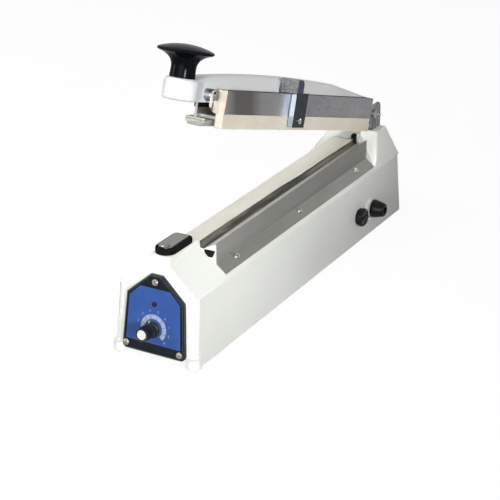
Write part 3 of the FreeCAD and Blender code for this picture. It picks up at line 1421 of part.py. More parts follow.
def slider_blade(start):
    body = new_body()
    middle = "(-slider_rear_reach - slider_length / 2)"
    half = "blade_length / 2"
    near, far = f"{middle} - {half}", f"{middle} + {half}"
    outline = [(near, "-blade_tip"), (far, "-blade_tip + blade_length * 0.7"), (far, "blade_top"),
               (near, "blade_top")]
    pad(body, "x", outline, start, f"{start} + blade_thickness")
    keep(body, "cutter_blade", on_arm)


for make in (base_housing, floor_pan, control_panel, panel_label, timer, platform_parts, ridge_parts,
             groove_parts, cover_plate, fuse_parts, gland_parts, transformer, timer_card, hinge_bracket,
             hinge_pin, return_springs, press_arm, handle, press_bar, cutter_rail, rail_guide, slider):
    make()
doc.recompute()

faults = [f"{o.Name} {o.State}" for o in doc.Objects if {"Invalid", "Error"} & set(o.State)]
faults += [p.Label for p in PARTS if p.Shape.isNull() or not p.Shape.isValid() or not p.Shape.Solids]
if faults:
    raise ValueError("failed: " + ", ".join(faults))

press = f"asin(({PIVOT_Z} + arm_floor - {STRIKE_TOP} - button_proud - stop_gap) / ({PIVOT_Y} - {BUTTON_Y}))"
print("pivot", val(PIVOT_Y), val(f"{PIVOT_Z} + foot_drop"), "carriage closes by", val("open_angle"),
      "arm closes by", round(val("open_angle") + val(press), 3))
os.makedirs("parts", exist_ok=True)
for piece in PARTS:
    piece.Shape.exportStep(f"parts/{piece.Label}.step")
print(len(PARTS), "pieces written")
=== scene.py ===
import math

import bmesh
import bpy
from mathutils import Matrix, Vector


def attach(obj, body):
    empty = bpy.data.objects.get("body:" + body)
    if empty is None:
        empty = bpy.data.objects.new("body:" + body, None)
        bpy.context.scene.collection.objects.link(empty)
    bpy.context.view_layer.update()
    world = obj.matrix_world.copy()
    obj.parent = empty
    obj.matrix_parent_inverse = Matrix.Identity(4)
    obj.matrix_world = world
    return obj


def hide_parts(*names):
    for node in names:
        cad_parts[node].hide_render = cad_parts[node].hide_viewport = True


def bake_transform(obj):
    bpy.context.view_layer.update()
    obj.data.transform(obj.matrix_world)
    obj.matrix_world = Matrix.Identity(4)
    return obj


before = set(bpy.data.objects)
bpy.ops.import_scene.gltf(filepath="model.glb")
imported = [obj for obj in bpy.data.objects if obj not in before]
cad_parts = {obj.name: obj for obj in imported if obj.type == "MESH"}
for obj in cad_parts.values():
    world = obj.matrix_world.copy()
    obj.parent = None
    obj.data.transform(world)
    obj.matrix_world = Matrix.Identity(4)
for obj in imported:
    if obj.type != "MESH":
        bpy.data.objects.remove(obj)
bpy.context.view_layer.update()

# Camera: a long lens well above the bench, looking down on the machine's front right corner.
# Its place was fitted to the straight edges of the base and the arm.
scene = bpy.context.scene


def placed(name, data):
    """An object of that name in the scene."""
    thing = bpy.data.objects.new(name, data)
    scene.collection.objects.link(thing)
    return thing


def aimed(thing, place, way):
    """Puts a camera or a lamp at a place, looking one way."""
    thing.location = place
    thing.rotation_mode = "QUATERNION"
    thing.rotation_quaternion = way.to_track_quat("-Z", "Y")


camera_turn, camera_tilt = math.radians(29.56), math.radians(24.14)
looking_back = Vector((math.sin(camera_turn) * math.cos(camera_tilt),
                       -math.cos(camera_turn) * math.cos(camera_tilt), math.sin(camera_tilt)))
lens = bpy.data.cameras.new("photo_lens")
lens.lens, lens.sensor_width = 119.9, 36.0
lens.clip_start, lens.clip_end = 0.05, 50.0
scene.camera = placed("photo_camera", lens)
aimed(scene.camera, (0.74261, -1.35224, 0.71752), -looking_back)

# Studio: a white sweep and a white surround as the camera sees them, over a grey bench in a dim room. One
# softbox hangs overhead, one stands in front and a narrow one at the right, whose light falls off along
# the machine; three small cards lift the arm, the rear column and the left side.
scene.view_settings.view_transform = "Standard"


def by_ray(tree, plain, mirrored, seen):
    """A number that is seen for rays from the camera, mirrored for reflections and plain for all others."""
    path = tree.nodes.new("ShaderNodeLightPath")
    total = None
    for kind, amount in (("Is Camera Ray", seen - plain), ("Is Glossy Ray", mirrored - plain)):
        part = tree.nodes.new("ShaderNodeMath")
        part.operation = "MULTIPLY_ADD"
        part.inputs[1].default_value, part.inputs[2].default_value = amount, plain
        tree.links.new(path.outputs[kind], part.inputs[0])
        if total:
            tree.links.new(total, part.inputs[2])
        total = part.outputs[0]
    return total


def new_finish(name, colour, rough, metal=0.0, glint=None, coat=None):
    """A material with its plain values; glint is its mirroring, coat a lacquer's weight and roughness."""
    finish = bpy.data.materials.new(name)
    finish.use_nodes = True
    shader = finish.node_tree.nodes["Principled BSDF"]
    shader.inputs["Base Color"].default_value = (*colour, 1.0)
    shader.inputs["Roughness"].default_value = rough
    shader.inputs["Metallic"].default_value = metal
    if glint is not None:
        shader.inputs["Specular IOR Level"].default_value = glint
    if coat:
        shader.inputs["Coat Weight"].default_value, shader.inputs["Coat Roughness"].default_value = coat
    return finish, finish.node_tree, shader


surround = bpy.data.worlds.new("white_surround")
scene.world = surround
surround.use_nodes = True
sky = surround.node_tree
sky.nodes["Background"].inputs["Color"].default_value = (1.0, 1.0, 1.0, 1.0)
sky.links.new(by_ray(sky, plain=0.10, mirrored=0.6, seen=1.0), sky.nodes["Background"].inputs["Strength"])

floor_mesh = bmesh.new()
bmesh.ops.create_grid(floor_mesh, x_segments=1, y_segments=1, size=6.0)
floor_data = bpy.data.meshes.new("studio_floor")
floor_mesh.to_mesh(floor_data)
floor_mesh.free()
floor = placed("studio_floor", floor_data)
sweep, paper, bench = new_finish("white_sweep", (0.24, 0.24, 0.235), 0.9, glint=0.0)
white_paper = paper.nodes.new("ShaderNodeBsdfDiffuse")
white_paper.inputs["Color"].default_value = (0.9, 0.9, 0.9, 1.0)
lift = paper.nodes.new("ShaderNodeEmission")
lift.inputs["Strength"].default_value = 1.06
cut_out = paper.nodes.new("ShaderNodeMixShader")
cut_out.inputs[0].default_value = 0.88
paper.links.new(white_paper.outputs[0], cut_out.inputs[1])
paper.links.new(lift.outputs[0], cut_out.inputs[2])
shown = paper.nodes.new("ShaderNodeMixShader")
paper.links.new(by_ray(paper, plain=0.0, mirrored=0.45, seen=1.0), shown.inputs[0])
paper.links.new(bench.outputs[0], shown.inputs[1])
paper.links.new(cut_out.outputs[0], shown.inputs[2])
paper.links.new(shown.outputs[0], paper.nodes["Material Output"].inputs["Surface"])
floor_data.materials.append(sweep)

for lamp_name, place, aim, beam, size, power in (
        ("overhead_softbox", (-0.85, -0.45, 1.5), (0, 0, 0.1), 180, 1.2, 13.4),
        ("front_softbox", (0.30, -1.75, 0.60), (0, 0, 0.1), 180, 1.3, 16.0),
        ("right_softbox", (1.3, -1.1, 0.6), (0, -0.16, 0.10), 20, 0.4, 0.62),
        ("arm_card", (1.0, -0.9, 0.85), (0.01, 0.13, 0.17), 9, 0.15, 0.034),
        ("column_card", (0.35, -1.2, 0.35), (0.02, 0.18, 0.10), 7, 0.1, 0.018),
        ("left_card", (-1.4, -0.9, 0.35), (-0.03, -0.2, 0.12), 40, 0.5, 0.3)):
    lamp_data = bpy.data.lights.new(lamp_name, "AREA")
    lamp_data.energy, lamp_data.size, lamp_data.spread = power, size, math.radians(beam)
    lamp = placed(lamp_name, lamp_data)
    aimed(lamp, place, Vector(aim) - Vector(place))
    lamp.visible_camera = False

# Base casting: a sand-cast alloy shell in warm off-white baked enamel, satin, with a faint orange peel.
# Its edges are softened by the mould and the thick paint; the enamel is paler where they are rubbed.

def grain(tree, size, stretch=(1.0, 1.0, 1.0), detail=4.0, tilt=0.0):
    """Noise over the piece, its grains about size metres across, drawn out by stretch."""
    spot = tree.nodes.new("ShaderNodeTexCoord")
    turn = tree.nodes.new("ShaderNodeMapping")
    turn.vector_type = "TEXTURE"
    turn.inputs["Rotation"].default_value = (math.radians(tilt), 0.0, 0.0)
    turn.inputs["Scale"].default_value = [size * s for s in stretch]
    noise = tree.nodes.new("ShaderNodeTexNoise")
    noise.inputs["Scale"].default_value = 1.0
    noise.inputs["Detail"].default_value = detail
    tree.links.new(spot.outputs["Object"], turn.inputs["Vector"])
    tree.links.new(turn.outputs["Vector"], noise.inputs["Vector"])
    return noise.outputs["Fac"]


def tints(tree, amount, *stops):
    """A colour that runs through stops of (position, colour) with amount."""
    ramp = tree.nodes.new("ShaderNodeValToRGB")
    while len(ramp.color_ramp.elements) < len(stops):
        ramp.color_ramp.elements.new(0.5)
    for element, (position, colour) in zip(ramp.color_ramp.elements, stops):
        element.position = position
        element.color = (*colour, 1.0)
    tree.links.new(amount, ramp.inputs["Fac"])
    return ramp.outputs["Color"]


def spread(tree, amount, low, high, start=0.3, end=0.7):
    """A number from low to high as amount goes from start to end."""
    reach = tree.nodes.new("ShaderNodeMapRange")
    reach.inputs["From Min"].default_value, reach.inputs["From Max"].default_value = start, end
    reach.inputs["To Min"].default_value, reach.inputs["To Max"].default_value = low, high
    tree.links.new(amount, reach.inputs["Value"])
    return reach.outputs["Result"]


def mixed(tree, amount, first, second, way="MIX"):
    """Two colours laid over each other by amount."""
    both = tree.nodes.new("ShaderNodeMix")
    both.data_type, both.blend_type = "RGBA", way
    for socket, value in zip((both.inputs[0], both.inputs[6], both.inputs[7]), (amount, first, second)):
        if isinstance(value, bpy.types.NodeSocket):
            tree.links.new(value, socket)
        elif isinstance(value, tuple):
            socket.default_value = (*value, 1.0)
        else:
            socket.default_value = value
    return both.outputs[2]


# Marks edges: on the enamel they carry real rubbed wear, on the panel and the film a painted highlight.
def worn_edges(tree, reach):
    """1 on edges and corners, where a rounded normal leaves the face's own, and 0 on open faces."""
    rounded = tree.nodes.new("ShaderNodeBevel")
    rounded.samples = 4
    rounded.inputs["Radius"].default_value = reach
    own = tree.nodes.new("ShaderNodeNewGeometry")
    match = tree.nodes.new("ShaderNodeVectorMath")
    match.operation = "DOT_PRODUCT"
    tree.links.new(rounded.outputs["Normal"], match.inputs[0])
    tree.links.new(own.outputs["Normal"], match.inputs[1])
    return spread(tree, match.outputs["Value"], 1.0, 0.0, 0.86, 0.995)


def sets(shader, socket, source):
    """Lets a node's output set one of the shader's values."""
    shader.id_data.links.new(source, shader.inputs[socket])


def clouds(shader, amount, dark, pale, start=0.3, end=0.7):
    """Colours the surface from dark to pale as amount goes from start to end."""
    sets(shader, "Base Color", tints(shader.id_data, amount, (start, dark), (end, pale)))


def sheen(shader, amount, low, high):
    """Lets the roughness go from low to high with amount."""
    sets(shader, "Roughness", spread(shader.id_data, amount, low, high))


def relief(shader, height, depth):
    """Raises the surface by up to depth metres where height is high."""
    bump = shader.id_data.nodes.new("ShaderNodeBump")
    bump.inputs["Distance"].default_value = depth
    bump.inputs["Strength"].default_value = 1.0
    shader.id_data.links.new(height, bump.inputs["Height"])
    sets(shader, "Normal", bump.outputs["Normal"])


def wears(finish, *node_names, edge=0.0):
    """Gives a finish to CAD pieces that keep their shape, and rounds their edges by edge millimetres."""
    for node_name in node_names:
        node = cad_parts[node_name]
        node.data.materials.clear()
        node.data.materials.append(finish)
        if not edge:
            continue
        join = node.modifiers.new("joined_corners", "WELD")
        join.merge_threshold = 0.00002
        soft = node.modifiers.new("soft_edges", "BEVEL")
        soft.limit_method, soft.angle_limit = "ANGLE", math.radians(32)
        soft.width, soft.segments = edge / 1000, 3
        even = node.modifiers.new("even_shading", "WEIGHTED_NORMAL")
        even.keep_sharp = True


def baked_enamel(name, shade, light):
    """Satin off-white paint between two tones, with dust specks, paler edges and orange peel."""
    speck_grey, edge_white = (0.68, 0.675, 0.63), (0.87, 0.865, 0.82)
    paint, tree, shader = new_finish(name, light, 0.4, coat=(0.12, 0.22))
    cloudy = tints(tree, grain(tree, 0.11), (0.3, shade), (0.7, light))
    specks = spread(tree, grain(tree, 0.0022, detail=1.0), 0.0, 1.0, 0.75, 0.81)
    speckled = mixed(tree, specks, cloudy, speck_grey)
    sets(shader, "Base Color", mixed(tree, worn_edges(tree, 0.0012), speckled, edge_white))
    sheen(shader, grain(tree, 0.02), 0.34, 0.46)
    relief(shader, grain(tree, 0.0017, detail=2.0), 0.00007)
    return paint


enamel = baked_enamel("off_white_enamel", shade=(0.778, 0.792, 0.748), light=(0.838, 0.852, 0.808))
wears(enamel, "base_housing", edge=1.1)

# Floor pan and its screws: flat zinc-plated sheet that closes the base from below, held by six
# pan-head screws. The plating has a faint bluish cast, soft spangle and scuffs.
zinc, tree, shader = new_finish("bright_zinc", (0.6, 0.61, 0.62), 0.32, 1.0)
clouds(shader, grain(tree, 0.006), (0.42, 0.43, 0.44), (0.62, 0.63, 0.64))
sheen(shader, grain(tree, 0.0018), 0.24, 0.44)
relief(shader, grain(tree, 0.0008), 0.00002)
wears(zinc, "floor_pan", "floor_pan_screws", edge=0.25)

# Rubber feet: four moulded black discs pressed on under the pan, cupped underneath so that they grip.
# Each is turned from its half section, wide at the pan and rounded at the bench.

def turned(profile, steps, closed=False):
    """A mesh turned about Z from (radius, height) points in millimetres."""
    mesh = bmesh.new()
    points = [mesh.verts.new((radius / 1000, 0.0, height / 1000)) for radius, height in profile]
    after = points[1:] + points[:1] if closed else points[1:]
    edges = [mesh.edges.new(pair) for pair in zip(points, after)]
    bmesh.ops.spin(mesh, geom=points + edges, cent=(0, 0, 0), axis=(0, 0, 1), angle=2 * math.pi, steps=steps,
                   use_merge=True)
    bmesh.ops.remove_doubles(mesh, verts=mesh.verts, dist=0.000002)
    bmesh.ops.recalc_face_normals(mesh, faces=mesh.faces)
    return mesh


def moved(mesh, matrix):
    """The mesh carried to its place."""
    bmesh.ops.transform(mesh, matrix=matrix, verts=mesh.verts)
    return mesh


def gathered(meshes):
    """Several shapes as one mesh."""
    whole = bmesh.new()
    for shape in meshes:
        scrap = bpy.data.meshes.new("scrap")
        shape.to_mesh(scrap)
        shape.free()
        whole.from_mesh(scrap)
        bpy.data.meshes.remove(scrap)
    return whole


def add_piece(name, mesh, finish, body, slot, *stands_for, crisp=35.0):
    """A finished piece that rides on a body and stands for the CAD nodes it covers."""
    data = bpy.data.meshes.new(name)
    mesh.to_mesh(data)
    mesh.free()
    data.polygons.foreach_set("use_smooth", [True] * len(data.polygons))
    data.set_sharp_from_angle(angle=math.radians(crisp))
    data.materials.append(finish)
    made = placed(name, data)
    if body:
        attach(made, body)
    if stands_for:
        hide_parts(*stands_for)
    return made


rubber, tree, shader = new_finish("black_rubber", (0.012, 0.012, 0.013), 0.62, glint=0.05)
clouds(shader, grain(tree, 0.006), (0.004, 0.004, 0.004), (0.010, 0.010, 0.010), end=0.75)
sheen(shader, grain(tree, 0.002), 0.48, 0.72)
relief(shader, grain(tree, 0.0007, detail=2.0), 0.00003)
foot_section = [(0, 0.9), (2.4, 0.9), (2.9, 0.1), (3.3, 0), (6.2, 0), (6.9, 0.25), (7.15, 0.8), (7.9, 2.25),
                (0, 2.25)]
feet = [moved(turned(foot_section, 40), Matrix.Translation((x, y, 0.0)))
        for x in (-0.03, 0.03) for y in (-0.18, 0.18)]
add_piece("bench_feet", gathered(feet), rubber, "base", "black_rubber", "rubber_feet")

# Electrics inside the base: a small transformer strapped to the pan, with varnished laminations and a
# taped winding, and the timer card on white spacers with its relay, chip and can.
laminations, tree, shader = new_finish("varnished_laminations", (0.16, 0.16, 0.165), 0.5, 0.8)
leaves = grain(tree, 0.0009, stretch=(1.0, 60.0, 60.0), detail=2.0)
clouds(shader, leaves, (0.10, 0.10, 0.105), (0.24, 0.235, 0.23), 0.35, 0.65)
relief(shader, leaves, 0.00012)
wears(laminations, "transformer_core", edge=0.3)
tape, tree, shader = new_finish("yellow_winding_tape", (0.55, 0.42, 0.08), 0.5)
wraps = grain(tree, 0.004, stretch=(8.0, 8.0, 1.0), detail=2.0)
clouds(shader, wraps, (0.48, 0.36, 0.06), (0.60, 0.47, 0.11), 0.4, 0.6)
relief(shader, wraps, 0.0002)
wears(tape, "transformer_coil", edge=1.5)
wears(zinc, "transformer_strap", "microswitch_bracket", edge=0.3)
fibre, tree, shader = new_finish("brown_card", (0.24, 0.15, 0.055), 0.45)
layers = grain(tree, 0.002, stretch=(1.0, 4.0, 1.0))
clouds(shader, layers, (0.20, 0.12, 0.04), (0.29, 0.19, 0.075), 0.35, 0.65)
relief(shader, grain(tree, 0.0006), 0.00002)
wears(fibre, "timer_card", edge=0.2)
white_plastic, tree, shader = new_finish("white_moulding", (0.78, 0.78, 0.76), 0.38)
clouds(shader, grain(tree, 0.005), (0.66, 0.67, 0.655), (0.76, 0.77, 0.755))
sheen(shader, grain(tree, 0.0015), 0.32, 0.45)
relief(shader, grain(tree, 0.0006), 0.00001)
wears(white_plastic, "timer_card_spacers", edge=0.2)
deep_black, rubbed_black = (0.005, 0.007, 0.010), (0.011, 0.014, 0.019)
black_plastic, tree, shader = new_finish("black_moulding", (0.012, 0.012, 0.014), 0.36, glint=0.15)
clouds(shader, grain(tree, 0.004), deep_black, rubbed_black, end=0.75)
sheen(shader, grain(tree, 0.0013), 0.28, 0.46)
relief(shader, grain(tree, 0.0005, detail=2.0), 0.00002)
wears(black_plastic, "timer_card_parts", "microswitch", "fuse_holder", "fuse_holder_nut", "gland_locknut",
      edge=0.3)

# Control panel: a black moulded plate with a bevelled rim, held by three pan-head screws on the leaning
# front, with a blue printed film stuck on it. The film's gloss is broken by fine print grain.
panel_black, tree, shader = new_finish("panel_painted_edge_highlight", (0.012, 0.012, 0.014), 0.34, glint=0.15)
moulding = tints(tree, grain(tree, 0.004), (0.3, deep_black), (0.75, rubbed_black))
# The panel's edges and corners are painted paler and bluish grey: a painted highlight on the rim, not wear.
sets(shader, "Base Color", mixed(tree, worn_edges(tree, 0.0009), moulding, (0.17, 0.185, 0.195)))
sheen(shader, grain(tree, 0.006), 0.3, 0.4)
relief(shader, grain(tree, 0.0005, detail=2.0), 0.00002)
wears(panel_black, "control_panel")
blue, tree, shader = new_finish("blue_film", (0.034, 0.088, 0.37), 0.3)
film = tints(tree, grain(tree, 0.014), (0.3, (0.020, 0.064, 0.25)), (0.7, (0.027, 0.080, 0.305)))
# The film is painted paler and bluer along its edges and corners: a painted highlight.
sets(shader, "Base Color", mixed(tree, worn_edges(tree, 0.0007), film, (0.10, 0.14, 0.34)))
sheen(shader, grain(tree, 0.012), 0.31, 0.36)
relief(shader, grain(tree, 0.0005, detail=1.0), 0.00001)
wears(blue, "panel_label", edge=0.08)
nickel, tree, shader = new_finish("warm_nickel", (0.5, 0.46, 0.39), 0.26, 1.0)
clouds(shader, grain(tree, 0.0022), (0.36, 0.33, 0.27), (0.60, 0.56, 0.48))
sheen(shader, grain(tree, 0.001), 0.2, 0.34)
relief(shader, grain(tree, 0.0005), 0.00001)


def pan_head(reach):
    """A pan-head screw standing on Z, with a cross recess, its shank reaching down by reach millimetres."""
    radius, height, rim_share, shank = 3.0, 2.0, 0.52, 1.45
    recess_reach, recess_half_width, recess_depth = radius * 0.62 / 1000, 0.00042, 0.0009
    dome = [(radius * share, height * (rim_share + (1 - rim_share) * math.sqrt(1 - share * share)))
            for share in (0, 0.1, 0.2, 0.3, 0.4, 0.5, 0.62, 0.75, 0.86, 0.94, 0.985, 1.0)]
    below = [(radius, 0.3), (radius * 0.97, 0.0), (shank, 0.0), (shank, -reach), (0, -reach)]
    head = turned(dome + below, 32)
    for vert in head.verts:
        in_cross = (vert.co.xy.length < recess_reach
                    and min(abs(vert.co.x), abs(vert.co.y)) < recess_half_width)
        if in_cross and vert.co.z > recess_depth:
            vert.co.z -= recess_depth
    return head


wall_height, front_setback, panel_proud = 67, 7.6, 4
front_lean = math.atan(front_setback / wall_height)
panel_seat = Matrix.Translation((0, -0.22, 0.0015)) @ Matrix.Rotation(-front_lean, 4, "X")


def off_panel(across, up, out):
    """Turns +Z outwards from the leaning panel, at a place given in millimetres."""
    return (panel_seat @ Matrix.Translation((across / 1000, -(panel_proud + out) / 1000, up / 1000))
            @ Matrix.Rotation(math.pi / 2, 4, "X"))


heads = [moved(pan_head(6), off_panel(across, up, 0) @ Matrix.Rotation(turn, 4, "Z"))
         for across, up, turn in ((0, 76.7, 0.5), (-28.5, 12.8, 1.1), (28.5, 12.8, 0.2))]
add_piece("panel_pan_heads", gathered(heads), nickel, "base", "bright_steel", "panel_screws", crisp=40.0)
wears(zinc, "timer_potentiometer", "potentiometer_nut", "timer_shaft", edge=0.2)

# Dial print: a pale arc of nine blocks round the timer knob and the figures 0 to 9 beside it, printed
# in one light blue-grey ink. The ink lies on the film and thins where it has rubbed.

def only(kind, geom):
    """The vertices or edges among what an operation gives back."""
    return [element for element in geom if isinstance(element, kind)]


def thickened(mesh, way):
    """Draws a flat shape out into a solid, and gives its far corners."""
    grown = bmesh.ops.extrude_face_region(mesh, geom=mesh.faces[:])
    far = only(bmesh.types.BMVert, grown["geom"])
    bmesh.ops.translate(mesh, verts=far, vec=way)
    bmesh.ops.recalc_face_normals(mesh, faces=mesh.faces)
    return far


ink, tree, shader = new_finish("pale_ink", (0.42, 0.5, 0.7), 0.42)
clouds(shader, grain(tree, 0.0035), (0.25, 0.31, 0.45), (0.42, 0.48, 0.60))
relief(shader, grain(tree, 0.0004), 0.00001)
dial_up, ink_height = 32.2, 0.33
first_mark, mark_step, figure_ring = 225, 30, 17.0
block_lead, block_sweep, block_rings = 0.9, 28.2, (9.3, 13.6)
print_shapes = []
for block in range(9):
    start = math.radians(first_mark - mark_step * block - block_lead)
    shape = bmesh.new()
    ends = [shape.verts.new((radius / 1000 * math.cos(start), radius / 1000 * math.sin(start), 0))
            for radius in block_rings]
    bmesh.ops.spin(shape, geom=ends + [shape.edges.new(ends)], cent=(0, 0, 0), axis=(0, 0, 1),
                   angle=-math.radians(block_sweep), steps=7)
    bmesh.ops.recalc_face_normals(shape, faces=shape.faces)
    thickened(shape, (0, 0, 0.00002))
    print_shapes.append(moved(shape, off_panel(0, dial_up, ink_height)))
for number in range(10):
    angle = math.radians(first_mark - mark_step * number)
    words = bpy.data.curves.new("figure", "FONT")
    words.body, words.size, words.extrude = str(number), 0.0034, 0.00001
    words.align_x, words.align_y = "CENTER", "CENTER"
    drawn = placed("figure", words)
    bpy.context.view_layer.update()
    flat = bpy.data.meshes.new_from_object(drawn.evaluated_get(bpy.context.evaluated_depsgraph_get()))
    figure = bmesh.new()
    figure.from_mesh(flat)
    bpy.data.meshes.remove(flat)
    bpy.data.objects.remove(drawn)
    bpy.data.curves.remove(words)
    across, up = figure_ring * math.cos(angle), dial_up + figure_ring * math.sin(angle)
    print_shapes.append(moved(figure, off_panel(across, up, ink_height)))
add_piece("dial_print", gathered(print_shapes), ink, "base", "white_plastic")

# Indicator lamp: a small domed lens of dark red plastic pushed through the film from behind.
# It is unlit, so it looks nearly black, with a purple cast from the blue film behind it.
lens_red, tree, shader = new_finish("dark_red_lens", (0.035, 0.004, 0.03), 0.16, glint=0.2)
clouds(shader, grain(tree, 0.002), (0.014, 0.003, 0.03), (0.038, 0.006, 0.05))
relief(shader, grain(tree, 0.0006), 0.00001)
lens_section = [(0, -8), (2.4, -8), (2.4, -4.0), (3.0, -4.0), (3.0, -3.9), (2.5, -3.9), (2.5, 0.5),
                (2.3, 0.95), (1.7, 1.4), (0.9, 1.65), (0, 1.72)]
lamp_up = 55.6
add_piece("lamp_lens", moved(turned(lens_section, 40), off_panel(0, lamp_up, 0)), lens_red, "base",
          "lamp_red", "indicator_lamp")

# Timer knob: a black moulded pointer knob with a skirt and a fluted grip, pressed on the shaft, with a
# white moulded cap in its end and a white line filled into the skirt.

def stepped(mesh, steps):
    """Draws a flat shape up along Z by steps of (rise in millimetres, share of width), and gives its top."""
    top = next(iter(mesh.faces))
    for rise, share in steps:
        top = bmesh.ops.extrude_discrete_faces(mesh, faces=[top])["faces"][0]
        bmesh.ops.translate(mesh, verts=top.verts, vec=(0, 0, rise / 1000))
        bmesh.ops.scale(mesh, verts=top.verts, vec=(share, share, 1.0))
    return top


def sunk(mesh, face, rim, depth):
    """Leaves a rim round a face and lets the rest down by depth, in millimetres."""
    bmesh.ops.inset_individual(mesh, faces=[face], thickness=rim / 1000)
    bmesh.ops.translate(mesh, verts=face.verts, vec=(0, 0, -depth / 1000))


def round_off(mesh, geom, radius, segments, affect="EDGES", clamp=False):
    """Rounds edges or corners by radius millimetres."""
    bmesh.ops.bevel(mesh, geom=geom, offset=radius / 1000, affect=affect, segments=segments, profile=0.5,
                    material=-1, clamp_overlap=clamp)


def small_block(size, edge, segments):
    """A block about the origin with its edges rounded, in millimetres."""
    mesh = bmesh.new()
    bmesh.ops.create_cube(mesh, size=1.0)
    bmesh.ops.scale(mesh, verts=mesh.verts, vec=[length / 1000 for length in size])
    round_off(mesh, mesh.edges[:], edge, segments)
    return mesh


flute_count, flute_dips = 20, (1.0, 0.975, 0.885, 0.975)
grip_length, knob_out, pointer_turn = 15.4, 2.6, 15
grip = bmesh.new()
bmesh.ops.create_circle(grip, cap_ends=True, segments=flute_count * len(flute_dips), radius=0.0069)
for index, vert in enumerate(grip.verts):
    dip = flute_dips[index % len(flute_dips)]
    vert.co.x *= dip
    vert.co.y *= dip
crown = stepped(grip, ((0.3, 1.0), (grip_length * 0.5, 0.985), (grip_length * 0.46, 0.955), (0.45, 0.98),
                       (0.25, 0.94)))
sunk(grip, crown, rim=1.1, depth=0.6)
bmesh.ops.recalc_face_normals(grip, faces=grip.faces)
moved(grip, Matrix.Translation((0, 0, 0.0026)))
skirt_section = [(0, 0), (7.7, 0), (8.15, 0.25), (8.2, 0.7), (8.1, 2.2), (7.8, 2.75), (7.2, 3.0), (0, 3.0)]
skirt = turned(skirt_section, 72)
knob_gloss, tree, shader = new_finish("knob_gloss", (0.008, 0.008, 0.009), 0.14)
clouds(shader, grain(tree, 0.003), (0.004, 0.004, 0.005), (0.009, 0.009, 0.010), end=0.75)
sheen(shader, grain(tree, 0.004), 0.1, 0.2)
relief(shader, grain(tree, 0.0006, detail=2.0), 0.00001)
knob_spot = off_panel(0, dial_up, knob_out)
add_piece("timer_knob_grip", moved(gathered([grip, skirt]), knob_spot), knob_gloss, "knob", "black_plastic",
          "timer_knob", crisp=50.0)
cap_section = [(0, 17.0), (4.2, 17.0), (4.45, 17.3), (4.5, 17.9), (4.35, 18.2), (3.9, 18.38), (2.0, 18.5),
               (0, 18.52)]
add_piece("timer_knob_disc", moved(turned(cap_section, 56), knob_spot), white_plastic, "knob",
          "white_plastic", "timer_knob_cap")
line = small_block((0.9, 1.8, 2.4), 0.2, 2)
moved(line, Matrix.Rotation(math.radians(pointer_turn), 4, "Z") @ Matrix.Translation((0, 0.0075, 0.0019)))
add_piece("timer_pointer_line", moved(line, knob_spot), white_plastic, "knob", "white_plastic")

# Strike pad: a block of black rubber glued on the front platform, round at the front, with a brushed
# steel plate let into its top and the switch button in a hole near the front.

def rounded_slab(x, y, z, front, rear, rim):
    """A block between pairs of x, y and z, its front and rear corners and its rim rounded, in millimetres."""
    mesh = bmesh.new()
    corners = [mesh.verts.new((px / 1000, py / 1000, z[0] / 1000))
               for px, py in ((x[0], y[0]), (x[1], y[0]), (x[1], y[1]), (x[0], y[1]))]
    mesh.faces.new(corners)
    for pair, radius in ((corners[:2], front), (corners[2:], rear)):
        round_off(mesh, pair, radius, 14, "VERTICES")
    bmesh.ops.remove_doubles(mesh, verts=mesh.verts, dist=0.00001)
    top = thickened(mesh, (0, 0, (z[1] - z[0]) / 1000))
    round_off(mesh, [e for e in mesh.edges if e.verts[0] in top and e.verts[1] in top], rim, 4)
    return mesh


def facing(tree, way):
    """How far the surface faces a way, from -1 to 1, in the piece's own axes."""
    own = tree.nodes.new("ShaderNodeTexCoord")
    match = tree.nodes.new("ShaderNodeVectorMath")
    match.operation = "DOT_PRODUCT"
    match.inputs[1].default_value = way
    tree.links.new(own.outputs["Normal"], match.inputs[0])
    return match.outputs["Value"]


def place_along(tree, axis):
    """Where the surface lies along an axis of the piece, in metres."""
    spot = tree.nodes.new("ShaderNodeTexCoord")
    split = tree.nodes.new("ShaderNodeSeparateXYZ")
    tree.links.new(spot.outputs["Object"], split.inputs[0])
    return split.outputs[axis]


pad = rounded_slab((-10.3, 10.3), (-206, -164.4), (101.3, 106.8), front=10.25, rear=4.4, rim=1.5)
top_face = max(pad.faces, key=lambda face: face.calc_center_median().z * 1000 + face.calc_area())
sunk(pad, top_face, rim=1.4, depth=0.12)
add_piece("rubber_strike_pad", pad, rubber, "base", "black_rubber", "strike_pad")
rightwards = (1, 0, 0)
brushed, tree, shader = new_finish("brushed_stainless", (0.4, 0.4, 0.39), 0.3, 1.0)
lines = grain(tree, 0.00035, stretch=(1.0, 700.0, 1.0), detail=3.0)
patches = grain(tree, 0.035, stretch=(0.6, 2.5, 0.6), detail=3.0)
steel_tone = tints(tree, patches, (0.3, (0.475, 0.472, 0.445)), (0.7, (0.59, 0.587, 0.555)))
scratched = mixed(tree, spread(tree, lines, 0.0, 0.22, 0.35, 0.7), steel_tone, (0.72, 0.71, 0.68))
# On faces turned to the right the steel is painted lighter at the front and darker towards the rear, a
# painted falloff of light and reflection; other faces keep the plain tone.
rearward = spread(tree, place_along(tree, "Y"), 0.0, 1.0, -0.16, 0.16)
painted_falloff = tints(tree, rearward, (0.0, (1.0, 1.0, 1.0)), (0.5, (0.70, 0.70, 0.69)), (1.0, (0.58, 0.57, 0.565)))
upright = spread(tree, facing(tree, rightwards), 0.0, 1.0, 0.75, 0.95)
shade = mixed(tree, upright, (0.725, 0.725, 0.71), painted_falloff)
sets(shader, "Base Color", mixed(tree, 1.0, scratched, shade, "MULTIPLY"))
sheen(shader, lines, 0.26, 0.38)
relief(shader, lines, 0.000006)
wears(brushed, "strike_plate", edge=0.2)
wears(brushed, "switch_button", edge=0.3)

